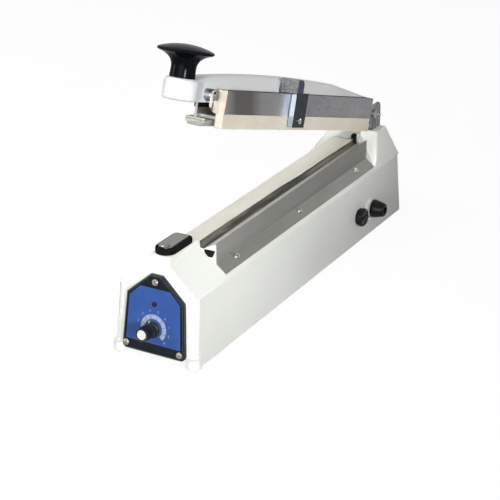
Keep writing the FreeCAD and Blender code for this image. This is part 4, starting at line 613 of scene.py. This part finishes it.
# Sealing ridge: an insulating board on the rib, the heating ribbon between two brass posts, and over
# them a tan glass cloth filled with slippery resin, folded down at the left and loose at the right.
board_finish, tree, shader = new_finish("pale_board", (0.66, 0.64, 0.56), 0.6)
clouds(shader, grain(tree, 0.003), (0.58, 0.56, 0.48), (0.70, 0.68, 0.60))
relief(shader, grain(tree, 0.0007), 0.00002)
wears(board_finish, "element_board")
ribbon_finish, tree, shader = new_finish("dull_ribbon", (0.34, 0.33, 0.32), 0.35, 1.0)
clouds(shader, grain(tree, 0.008, stretch=(1.0, 6.0, 1.0)), (0.22, 0.21, 0.22), (0.42, 0.41, 0.39))
relief(shader, grain(tree, 0.0006), 0.00001)
wears(ribbon_finish, "heating_ribbon")
brass, tree, shader = new_finish("turned_brass", (0.6, 0.44, 0.16), 0.3, 1.0)
clouds(shader, grain(tree, 0.003), (0.46, 0.33, 0.11), (0.66, 0.50, 0.20))
relief(shader, grain(tree, 0.0006, stretch=(8.0, 8.0, 1.0)), 0.00002)
wears(brass, "element_terminals", edge=0.2)

# The cloth in millimetres: its hem turns down over the left edge and gets narrower towards the rear,
# because the cloth lies askew; at the right it steps up on the groove strip and ends in a loose flap.
cloth_width, cloth_length, cloth_top, cloth_shift = 25.17, 313.2, 97.84, 0.75
fold_edge, fold_radius, hem_front, hem_taper = 9.07, 0.55, 6.2, 4.4
step_at, step_width, step_rise = 9.15, 0.75, 0.3
ripple, flap_at, flap_width, flap_lift = 0.03, 10.5, 3, 0.2


def eased(value):
    """0 to 1 with soft ends."""
    value = min(max(value, 0.0), 1.0)
    return value * value * (3 - 2 * value)


cloth_mesh = bmesh.new()
bmesh.ops.create_grid(cloth_mesh, x_segments=64, y_segments=150, size=0.5)
weave_map = cloth_mesh.loops.layers.uv.new("weave")
for face in cloth_mesh.faces:
    for corner in face.loops:
        corner[weave_map].uv = (corner.vert.co.x * cloth_width, corner.vert.co.y * cloth_length)
for vert in cloth_mesh.verts:
    along = vert.co.y + 0.5
    askew = (0.45 * along + 0.35 * eased((along - 0.5) / 0.1) + 0.2 * along ** 3
             + 0.025 * math.sin(along * 30) * along)
    flat = (vert.co.x + 0.5) * cloth_width - (hem_front - hem_taper * askew)
    bend = min(max(-flat / fold_radius, 0.0), math.pi / 2)
    drop = max(-flat - fold_radius * math.pi / 2, 0.0)
    across = max(flat, 0.0) - fold_edge - fold_radius * math.sin(bend)
    height = (cloth_top - fold_radius * (1 - math.cos(bend)) - drop
              + step_rise * eased((across - step_at) / step_width))
    if 0 < flat:
        height += (ripple * math.sin(along * 36 + across * 0.4)
                   + flap_lift * eased((across - flap_at) / flap_width) * math.sin(along * 40) ** 2)
    vert.co = (across / 1000, ((along - 0.5) * cloth_length - cloth_shift) / 1000, height / 1000)
bmesh.ops.recalc_face_normals(cloth_mesh, faces=cloth_mesh.faces)
cloth, tree, shader = new_finish("tan_glass_cloth", (0.62, 0.55, 0.42), 0.42, coat=(0.25, 0.3))
flat_map = tree.nodes.new("ShaderNodeUVMap")
flat_map.uv_map = "weave"
weave = tree.nodes.new("ShaderNodeMath")
weave.operation = "MULTIPLY"
for thread_way, socket in zip("XY", weave.inputs):
    threads = tree.nodes.new("ShaderNodeTexWave")
    threads.bands_direction = thread_way
    threads.inputs["Scale"].default_value = 0.62
    tree.links.new(flat_map.outputs["UV"], threads.inputs["Vector"])
    tree.links.new(threads.outputs["Fac"], socket)
woven = weave.outputs[0]
stains = tints(tree, grain(tree, 0.03, stretch=(0.5, 2.0, 1.0)), (0.3, (0.80, 0.77, 0.66)),
               (0.7, (0.88, 0.865, 0.775)))
# The threads' crests are painted paler: the weave's own pattern, with a painted highlight on its crests.
sets(shader, "Base Color", mixed(tree, spread(tree, woven, 0.0, 0.35, 0.0, 1.0), stains, (0.92, 0.91, 0.84)))
sheen(shader, grain(tree, 0.004), 0.34, 0.5)
relief(shader, woven, 0.00006)
ridge_cloth = add_piece("ridge_cloth", cloth_mesh, cloth, "base", "ptfe_cloth", "ptfe_cloth", crisp=80.0)
body_of_cloth = ridge_cloth.modifiers.new("cloth_gauge", "SOLIDIFY")
body_of_cloth.thickness, body_of_cloth.offset = 0.00022, 0.0

# Cutting groove: a dark glossy strip forms the groove's left wall, the casting its right one. A D-shaped
# rubber plug closes its front end, and a small rubber stop stands behind the strip at the rear.

def drawn_bar(outline, start, end, edge):
    """A bar along Y from start to end with a section of (x, z) points and rounded edges, in millimetres."""
    mesh = bmesh.new()
    mesh.faces.new([mesh.verts.new((x / 1000, start / 1000, z / 1000)) for x, z in outline])
    thickened(mesh, (0, (end - start) / 1000, 0))
    round_off(mesh, mesh.edges[:], edge, 3, clamp=True)
    return mesh


groove_film, tree, shader = new_finish("dark_glossy_strip", (0.06, 0.053, 0.042), 0.16)
smears = grain(tree, 0.012, stretch=(0.5, 7.0, 0.5))
sets(shader, "Base Color", tints(tree, smears, (0.36, (0.010, 0.009, 0.008)), (0.52, (0.06, 0.053, 0.042)),
                                 (0.68, (0.19, 0.172, 0.14))))
sheen(shader, smears, 0.08, 0.26)
relief(shader, smears, 0.0005)
wears(groove_film, "groove_bar", edge=0.15)
plug_section = [(16.9, 92.5), (17.1, 90.4), (17.9, 88.0), (19.0, 86.4), (20.4, 85.5), (24.9, 85.5),
                (28.3, 92.5)]
stop_section = [(10.7, 92.0), (15.8, 89.8), (15.8, 101.8), (14.6, 103.4), (11.9, 103.4), (10.7, 101.8)]
plugs = [drawn_bar(plug_section, -158.4, -149.6, 0.45), drawn_bar(stop_section, 156.4, 161.0, 0.5)]
add_piece("groove_end_plugs", gathered(plugs), rubber, "base", "black_rubber", "groove_plug")

# Cover plate: a long sheet of brushed stainless steel, folded once so that its foot lies on the sloping
# roof, and held there by three pan-head screws.
wears(brushed, "cover_plate", edge=0.22)
roof_fall, roof_reach = 25, 30.5
roof_lean = math.atan(roof_fall / roof_reach)
heads = [moved(pan_head(4), Matrix.Translation((0.0334, along, 0.07725)) @ Matrix.Rotation(roof_lean, 4, "Y")
               @ Matrix.Rotation(turn, 4, "Z"))
         for along, turn in ((-0.12725, 0.3), (-0.00225, 0.9), (0.12275, 0.1))]
bright_screw, tree, shader = new_finish("bright_screw", (0.75, 0.75, 0.73), 0.14, 1.0)
clouds(shader, grain(tree, 0.0022), (0.38, 0.38, 0.36), (0.62, 0.62, 0.595))
sheen(shader, grain(tree, 0.001), 0.1, 0.22)
relief(shader, grain(tree, 0.0005), 0.00001)
add_piece("cover_pan_heads", gathered(heads), bright_screw, "base", "bright_steel", "cover_plate_screws",
          crisp=40.0)

# Mains inlet on the right wall: a twelve-sided bayonet fuse cap with a raised finger bar, and a black
# tapered cord gland on a white washer ring. The fuse inside is a clear tube.
wall_setback, fuse_along, gland_along = 1.5, 113, 141
wall_lean = math.atan(wall_setback / wall_height)


def off_wall(along):
    """Turns +Z outwards from the right wall at the inlet height, at a distance along the machine."""
    return (Matrix.Translation((0.043351, along / 1000, 0.0305)) @ Matrix.Rotation(-wall_lean, 4, "Y")
            @ Matrix.Rotation(math.pi / 2, 4, "Y"))


wears(white_plastic, "gland_ring", edge=0.6)
inlet_black, tree, shader = new_finish("inlet_black", (0.012, 0.012, 0.013), 0.18, glint=0.16)
clouds(shader, grain(tree, 0.003), (0.005, 0.005, 0.006), (0.012, 0.012, 0.013), end=0.75)
sheen(shader, grain(tree, 0.004), 0.1, 0.18)
relief(shader, grain(tree, 0.0006, detail=2.0), 0.00001)
cap_ring = bmesh.new()
bmesh.ops.create_circle(cap_ring, cap_ends=True, segments=12, radius=0.0098)
cap_top = stepped(cap_ring, ((0.3, 1.02), (4.3, 1.0), (1.1, 0.93), (0.5, 0.9)))
sunk(cap_ring, cap_top, rim=1.4, depth=0.6)
bmesh.ops.recalc_face_normals(cap_ring, faces=cap_ring.faces)
round_off(cap_ring, cap_ring.edges[:], 0.3, 3)
finger_bar = moved(small_block((2.2, 11.5, 1.2), 0.4, 3), Matrix.Translation((0, 0, 0.0060)))
stem = turned([(0, -11), (2.6, -11), (2.6, 0.2), (0, 0.2)], 24)
cap_spot = off_wall(fuse_along) @ Matrix.Translation((0, 0, 0.0015))
add_piece("fuse_cap_grip", moved(gathered([cap_ring, finger_bar, stem]), cap_spot), inlet_black,
          "fuse_carrier", "black_plastic", "fuse_cap", crisp=40.0)
gland_section = [(3.6, -12), (6.0, -12), (6.0, 3.6), (9.2, 3.6), (9.65, 4.0), (9.7, 4.7), (9.6, 6.4),
                 (9.2, 8.4), (8.3, 12.4), (7.2, 15.9), (6.6, 17.0), (5.7, 17.5), (4.6, 17.7), (3.9, 17.6),
                 (3.6, 17.2)]
add_piece("cord_gland", moved(turned(gland_section, 56, closed=True), off_wall(gland_along)), inlet_black,
          "base", "black_rubber", "cable_gland")
clear_tube, tree, shader = new_finish("clear_fuse_tube", (0.8, 0.82, 0.82), 0.08)
clouds(shader, grain(tree, 0.004), (0.74, 0.77, 0.77), (0.86, 0.88, 0.88))
shader.inputs["Transmission Weight"].default_value = 0.8
wears(clear_tube, "glass_fuse", edge=0.2)

# Hinge: a bent and plated bracket screwed on the rear column, with a headed pin held by a clip, a stay
# across the ears and two torsion springs of oiled wire that lift the arm.
plated, tree, shader = new_finish("plated_bracket", (0.35, 0.36, 0.38), 0.2, 1.0)
swirls = grain(tree, 0.005, stretch=(1.0, 0.6, 4.0), detail=2.0)
sets(shader, "Base Color", tints(tree, swirls, (0.36, (0.17, 0.175, 0.19)), (0.5, (0.28, 0.29, 0.315)),
                                 (0.64, (0.44, 0.455, 0.48))))
sheen(shader, swirls, 0.1, 0.26)
relief(shader, swirls, 0.00004)
wears(plated, "hinge_bracket", edge=0.3)
wears(zinc, "hinge_bracket_screws", edge=0.5)
chrome, tree, shader = new_finish("polished_chrome", (0.5, 0.5, 0.51), 0.1, 1.0)
clouds(shader, grain(tree, 0.012), (0.34, 0.345, 0.36), (0.60, 0.60, 0.61))
sheen(shader, grain(tree, 0.004), 0.05, 0.17)
relief(shader, grain(tree, 0.005, detail=2.0), 0.00003)
wears(chrome, "hinge_pin", edge=0.3)
wears(zinc, "hinge_pin_clip", "hinge_stay", edge=0.2)
wire, tree, shader = new_finish("oiled_spring_wire", (0.2, 0.2, 0.205), 0.3, 1.0)
clouds(shader, grain(tree, 0.002), (0.10, 0.10, 0.105), (0.28, 0.28, 0.285))
sheen(shader, grain(tree, 0.001), 0.22, 0.42)
relief(shader, grain(tree, 0.0005, stretch=(1.0, 6.0, 6.0)), 0.00002)
hinge_spot = Matrix.Translation((0, 0.193, 0.1168))
coil_radius, wire_radius, coil_pitch, coil_turns, turn_steps = 8.3, 0.8, 2.1, 3, 40
coil_start, front_leg, rear_leg = 10.7, 24, 15
drift = coil_pitch / (2 * math.pi * coil_radius)
for side, spring_name in ((1, "right_return_spring"), (-1, "left_return_spring")):
    spring = bmesh.new()
    bmesh.ops.create_circle(spring, cap_ends=True, segments=12, radius=wire_radius / 1000)
    leg_tip = ((coil_start - front_leg * drift) / 1000, -front_leg / 1000, -coil_radius / 1000)
    moved(spring, Matrix.Translation(leg_tip) @ Matrix.Rotation(math.pi / 2, 4, "X"))
    end = bmesh.ops.extrude_discrete_faces(spring, faces=spring.faces[:])["faces"][0]
    bmesh.ops.translate(spring, verts=end.verts, vec=(front_leg * drift / 1000, front_leg / 1000, 0))
    ring = end.edges[:] + end.verts[:]
    spring.faces.remove(end)
    wound = bmesh.ops.spin(spring, geom=ring, cent=(0, 0, 0), axis=(1, 0, 0), angle=2 * math.pi * coil_turns,
                           steps=coil_turns * turn_steps, dvec=(coil_pitch / 1000 / turn_steps, 0, 0))
    leg = bmesh.ops.extrude_edge_only(spring, edges=only(bmesh.types.BMEdge, wound["geom_last"]))
    bmesh.ops.translate(spring, verts=only(bmesh.types.BMVert, leg["geom"]),
                        vec=(rear_leg * drift / 1000, rear_leg / 1000, 0))
    bmesh.ops.contextual_create(spring, geom=only(bmesh.types.BMEdge, leg["geom"]))
    bmesh.ops.remove_doubles(spring, verts=spring.verts, dist=0.000002)
    moved(spring, hinge_spot @ Matrix.Scale(side, 4, (1, 0, 0)))
    bmesh.ops.recalc_face_normals(spring, faces=spring.faces)
    covers = ("return_springs",) if side > 0 else ()
    coil = add_piece(spring_name, spring, wire, None, "spring_steel", *covers, crisp=60.0)
    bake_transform(coil)

# Press arm and handle: a hollow alloy casting in the same enamel, arched along its top, with a black
# phenolic mushroom handle screwed on a steel stud at its round front end.
arm_lean = -17.9
arm_upwards, arm_forwards = (0, 0.31, 0.95), (0, -0.95, 0.31)
glancing, square_on = 0.6, 0.9
arm_seat = hinge_spot @ Matrix.Rotation(math.radians(arm_lean), 4, "X")
wears(baked_enamel("arm_enamel", shade=(0.79, 0.80, 0.80), light=(0.845, 0.86, 0.865)), "press_arm", edge=0.8)
wears(zinc, "handle_stud", edge=0.2)
handle_section = [(4.2, 0.0), (10.9, 0.0), (11.75, 0.05), (11.8, 0.9), (11.5, 5.0), (11.3, 9.0), (11.6, 12.2),
                  (13.0, 15.6), (16.2, 18.7), (20.4, 20.9), (23.8, 21.9), (25.2, 22.4), (25.9, 23.3),
                  (26.0, 24.1), (25.5, 24.95), (23.4, 26.0), (17.5, 27.9), (10.5, 29.3), (4.0, 29.9),
                  (1.2, 29.95), (0, 29.95)]
handle_black, tree, shader = new_finish("black_phenolic", (0.009, 0.009, 0.01), 0.2, coat=(0.02, 0.06))
sets(shader, "Specular IOR Level", spread(tree, facing(tree, arm_upwards), 0.03, 0.09, 0.2, 0.9))
clouds(shader, grain(tree, 0.01), (0.003, 0.0035, 0.005), (0.006, 0.007, 0.010), end=0.75)
sheen(shader, grain(tree, 0.006), 0.08, 0.14)
relief(shader, grain(tree, 0.004, detail=2.0), 0.00002)
handle_spot = arm_seat @ Matrix.Translation((0, -0.3828, 0.0231))
mushroom = add_piece("mushroom_handle", moved(turned(handle_section, 32), handle_spot), handle_black, "arm",
                     "black_plastic", "handle_knob", crisp=180.0)
smoothing = mushroom.modifiers.new("moulded_curves", "SUBSURF")
smoothing.levels = smoothing.render_levels = 2

# Press bar: a dull aluminium tee that swings on the hinge pin under the arm, with painted shade on its upper
# faces, a grey silicone strip along its foot and a black rubber buffer slipped over the top of its web.
dull, tree, shader = new_finish("dull_aluminium", (0.3, 0.3, 0.3), 0.5, 1.0)
drawing_lines = grain(tree, 0.0008, stretch=(1.0, 60.0, 1.0), tilt=arm_lean)
drawn_tone = tints(tree, drawing_lines, (0.3, (0.44, 0.43, 0.42)), (0.7, (0.60, 0.59, 0.58)))
# Painted shade: faces turned up along the arm are painted dark, matt and not metallic, as shade under the
# arm.
upper = facing(tree, arm_upwards)
painted_shade_on_top = spread(tree, upper, 0.0, 0.95, glancing, square_on)
sets(shader, "Base Color", mixed(tree, painted_shade_on_top, drawn_tone, (0.085, 0.083, 0.08)))
sets(shader, "Metallic", spread(tree, upper, 1.0, 0.0, glancing, square_on))
sets(shader, "Roughness", spread(tree, upper, 0.46, 0.85, glancing, square_on))
relief(shader, drawing_lines, 0.00003)
wears(dull, "press_bar", "rail_bridges", edge=0.2)
silicone, tree, shader = new_finish("grey_silicone", (0.5, 0.52, 0.48), 0.55)
clouds(shader, grain(tree, 0.007), (0.31, 0.325, 0.275), (0.42, 0.435, 0.37))
sheen(shader, grain(tree, 0.002), 0.45, 0.65)
relief(shader, grain(tree, 0.0006), 0.00002)
shader.inputs["Subsurface Weight"].default_value = 0.1
shader.inputs["Subsurface Radius"].default_value = (0.001, 0.001, 0.0008)
bar_front, strip_rear, buffer_rear = -350.0, -37.0, -39.0
strip_section = [(-6.5, -18.7), (6.5, -18.7), (9.9, -14.6), (9.9, -13.0), (-9.9, -13.0), (-9.9, -14.6)]
add_piece("seal_strip", moved(drawn_bar(strip_section, bar_front, strip_rear, 0.4), arm_seat), silicone,
          "carriage", "silicone", "silicone_strip")
buffer_section = [(-2.7, -2.1), (-1.3, -2.1), (-1.3, 5.1), (1.3, 5.1), (1.3, -2.1), (2.7, -2.1), (2.7, 6.6),
                  (-2.7, 6.6)]
add_piece("web_buffer", moved(drawn_bar(buffer_section, bar_front, buffer_rear, 0.3), arm_seat), rubber,
          "carriage", "black_rubber", "bar_buffer")

# Cutter rail: a cream phenolic bar beside the press bar, mottled like pale wood, with a stainless cover
# folded over its top and side. Its slotted ear hangs on a chromed stand-off and screw on the arm.
phenolic, tree, shader = new_finish("cream_phenolic", (0.66, 0.58, 0.45), 0.5)
mottle = tints(tree, grain(tree, 0.02, stretch=(1.0, 1.6, 1.0), tilt=arm_lean), (0.35, (0.80, 0.755, 0.655)),
               (0.55, (0.77, 0.70, 0.585)), (0.78, (0.74, 0.63, 0.50)))
fleck = grain(tree, 0.0016, stretch=(1.0, 2.0, 1.0), detail=2.0, tilt=arm_lean)
flecked = mixed(tree, spread(tree, fleck, 0.0, 0.22, 0.45, 0.75), mottle, (0.55, 0.45, 0.34))
sets(shader, "Base Color", flecked)
sheen(shader, grain(tree, 0.003), 0.42, 0.6)
relief(shader, fleck, 0.00003)
wears(phenolic, "cutter_rail", edge=0.3)
rail_steel, tree, shader = new_finish("brushed_rail_cover", (0.28, 0.275, 0.275), 0.3, 1.0)
lines = grain(tree, 0.00035, stretch=(1.0, 160.0, 1.0), detail=3.0, tilt=arm_lean)
patches = grain(tree, 0.03, stretch=(0.8, 2.0, 0.8), detail=3.0, tilt=arm_lean)
steel_tone = tints(tree, patches, (0.3, (0.37, 0.36, 0.375)), (0.7, (0.47, 0.46, 0.48)))
scratched = mixed(tree, spread(tree, lines, 0.0, 0.25, 0.35, 0.7), steel_tone, (0.57, 0.56, 0.575))
along_rail = place_along(tree, "Y")
# Painted reflection: a dark patch is painted on the cover a little ahead of the slider; pits are added
# towards the rear.
with_painted_reflection = mixed(tree, spread(tree, along_rail, 0.8, 0.0, -0.085, -0.064), scratched, (0.14, 0.128, 0.115))
with_painted_reflection = mixed(tree, spread(tree, along_rail, 1.0, 0.0, -0.128, -0.112), with_painted_reflection, scratched)
pitting = grain(tree, 0.0024, stretch=(1.0, 1.3, 1.0), detail=2.0, tilt=arm_lean)
pitted = mixed(tree, spread(tree, pitting, 0.0, 0.4, 0.56, 0.68), with_painted_reflection, (0.13, 0.125, 0.125))
with_painted_reflection = mixed(tree, spread(tree, along_rail, 0.0, 1.0, -0.02, 0.03), with_painted_reflection, pitted)
# Painted shadow: faces turned up along the arm, the cover's top fold, are painted near black, matt and not
# metallic.
top_fold = facing(tree, arm_upwards)
shadow = spread(tree, top_fold, 0.0, 0.95, glancing, square_on)
sets(shader, "Base Color", mixed(tree, shadow, with_painted_reflection, (0.02, 0.02, 0.022)))
sets(shader, "Metallic", spread(tree, top_fold, 1.0, 0.0, glancing, square_on))
sets(shader, "Roughness", spread(tree, top_fold, 0.3, 0.9, glancing, square_on))
relief(shader, lines, 0.000008)
wears(rail_steel, "rail_cover", edge=0.15)
# Painted reflection: the stand-off's chrome carries bands of dark, pale and bright tone up its height.
painted_chrome, tree, shader = new_finish("chrome_painted_bands", (0.5, 0.52, 0.56), 0.16, 1.0)
standoff_foot, standoff_top = 0.2296, 0.2408
up_standoff = spread(tree, place_along(tree, "Z"), 0.0, 1.0, standoff_foot, standoff_top)
painted_bands = tints(tree, up_standoff, (0.05, (0.10, 0.11, 0.14)), (0.3, (0.28, 0.31, 0.37)),
             (0.52, (0.40, 0.44, 0.51)), (0.64, (0.95, 0.97, 1.0)), (0.76, (0.52, 0.56, 0.63)),
             (0.95, (0.16, 0.18, 0.23)))
sets(shader, "Base Color", mixed(tree, spread(tree, grain(tree, 0.002), 0.0, 0.25), painted_bands, (0.3, 0.31, 0.34)))
sheen(shader, grain(tree, 0.001), 0.1, 0.24)
relief(shader, grain(tree, 0.0008, stretch=(1.0, 8.0, 8.0)), 0.00001)
wears(painted_chrome, "rail_standoff", edge=0.35)
wears(bright_screw, "rail_guide_screw", edge=0.5)

# Slider: a chromed bracket folded round the rail, with a dark textured finger grip on top, a pan-head
# screw in its side and the steel cutting blade on its inner leg.
slider_chrome, tree, shader = new_finish("dark_chrome", (0.3, 0.31, 0.33), 0.1, 1.0)
streaks = grain(tree, 0.004, stretch=(1.0, 0.6, 6.0), detail=2.0)
plating = tints(tree, streaks, (0.34, (0.06, 0.066, 0.085)), (0.56, (0.16, 0.17, 0.20)),
                (0.74, (0.55, 0.57, 0.60)))
# Painted reflection: faces turned to the right are painted near black and faces turned forwards are painted
# bright.
right_side = spread(tree, facing(tree, rightwards), 0.0, 0.8, glancing, square_on)
painted_dark_faces = mixed(tree, right_side, plating, (0.012, 0.018, 0.034))
front = spread(tree, facing(tree, arm_forwards), 0.0, 0.85, glancing, square_on)
sets(shader, "Base Color", mixed(tree, front, painted_dark_faces, (0.47, 0.54, 0.62)))
sheen(shader, grain(tree, 0.003), 0.05, 0.16)
relief(shader, streaks, 0.0002)
wears(slider_chrome, "slider_bracket", edge=0.35)
slider_spot = Matrix.Translation((0.031, -0.0016, 0.17072)) @ Matrix.Rotation(math.pi / 2, 4, "Y")
add_piece("slider_pan_head", moved(pan_head(2), slider_spot), bright_screw, "slider", "bright_steel",
          "slider_screw", crisp=40.0)
grip_plastic, tree, shader = new_finish("dark_grip", (0.2, 0.2, 0.205), 0.5)
moulded = tints(tree, grain(tree, 0.003), (0.3, (0.15, 0.152, 0.16)), (0.7, (0.29, 0.294, 0.305)))
# Painted shade: the grip's faces turned to the right are painted dark blue-black.
grip_painted_shade = spread(tree, facing(tree, rightwards), 0.0, 1.0, glancing, square_on)
sets(shader, "Base Color", mixed(tree, grip_painted_shade, moulded, (0.03, 0.044, 0.082)))
sheen(shader, grain(tree, 0.001), 0.4, 0.62)
relief(shader, grain(tree, 0.0006, detail=2.0), 0.00006)
wears(grip_plastic, "slider_grip", edge=0.35)
blade_steel, tree, shader = new_finish("ground_blade_steel", (0.55, 0.55, 0.56), 0.22, 1.0)
ground = grain(tree, 0.0004, stretch=(1.0, 1.0, 40.0))
clouds(shader, ground, (0.42, 0.42, 0.43), (0.62, 0.62, 0.63))
relief(shader, ground, 0.00002)
wears(blade_steel, "cutter_blade")
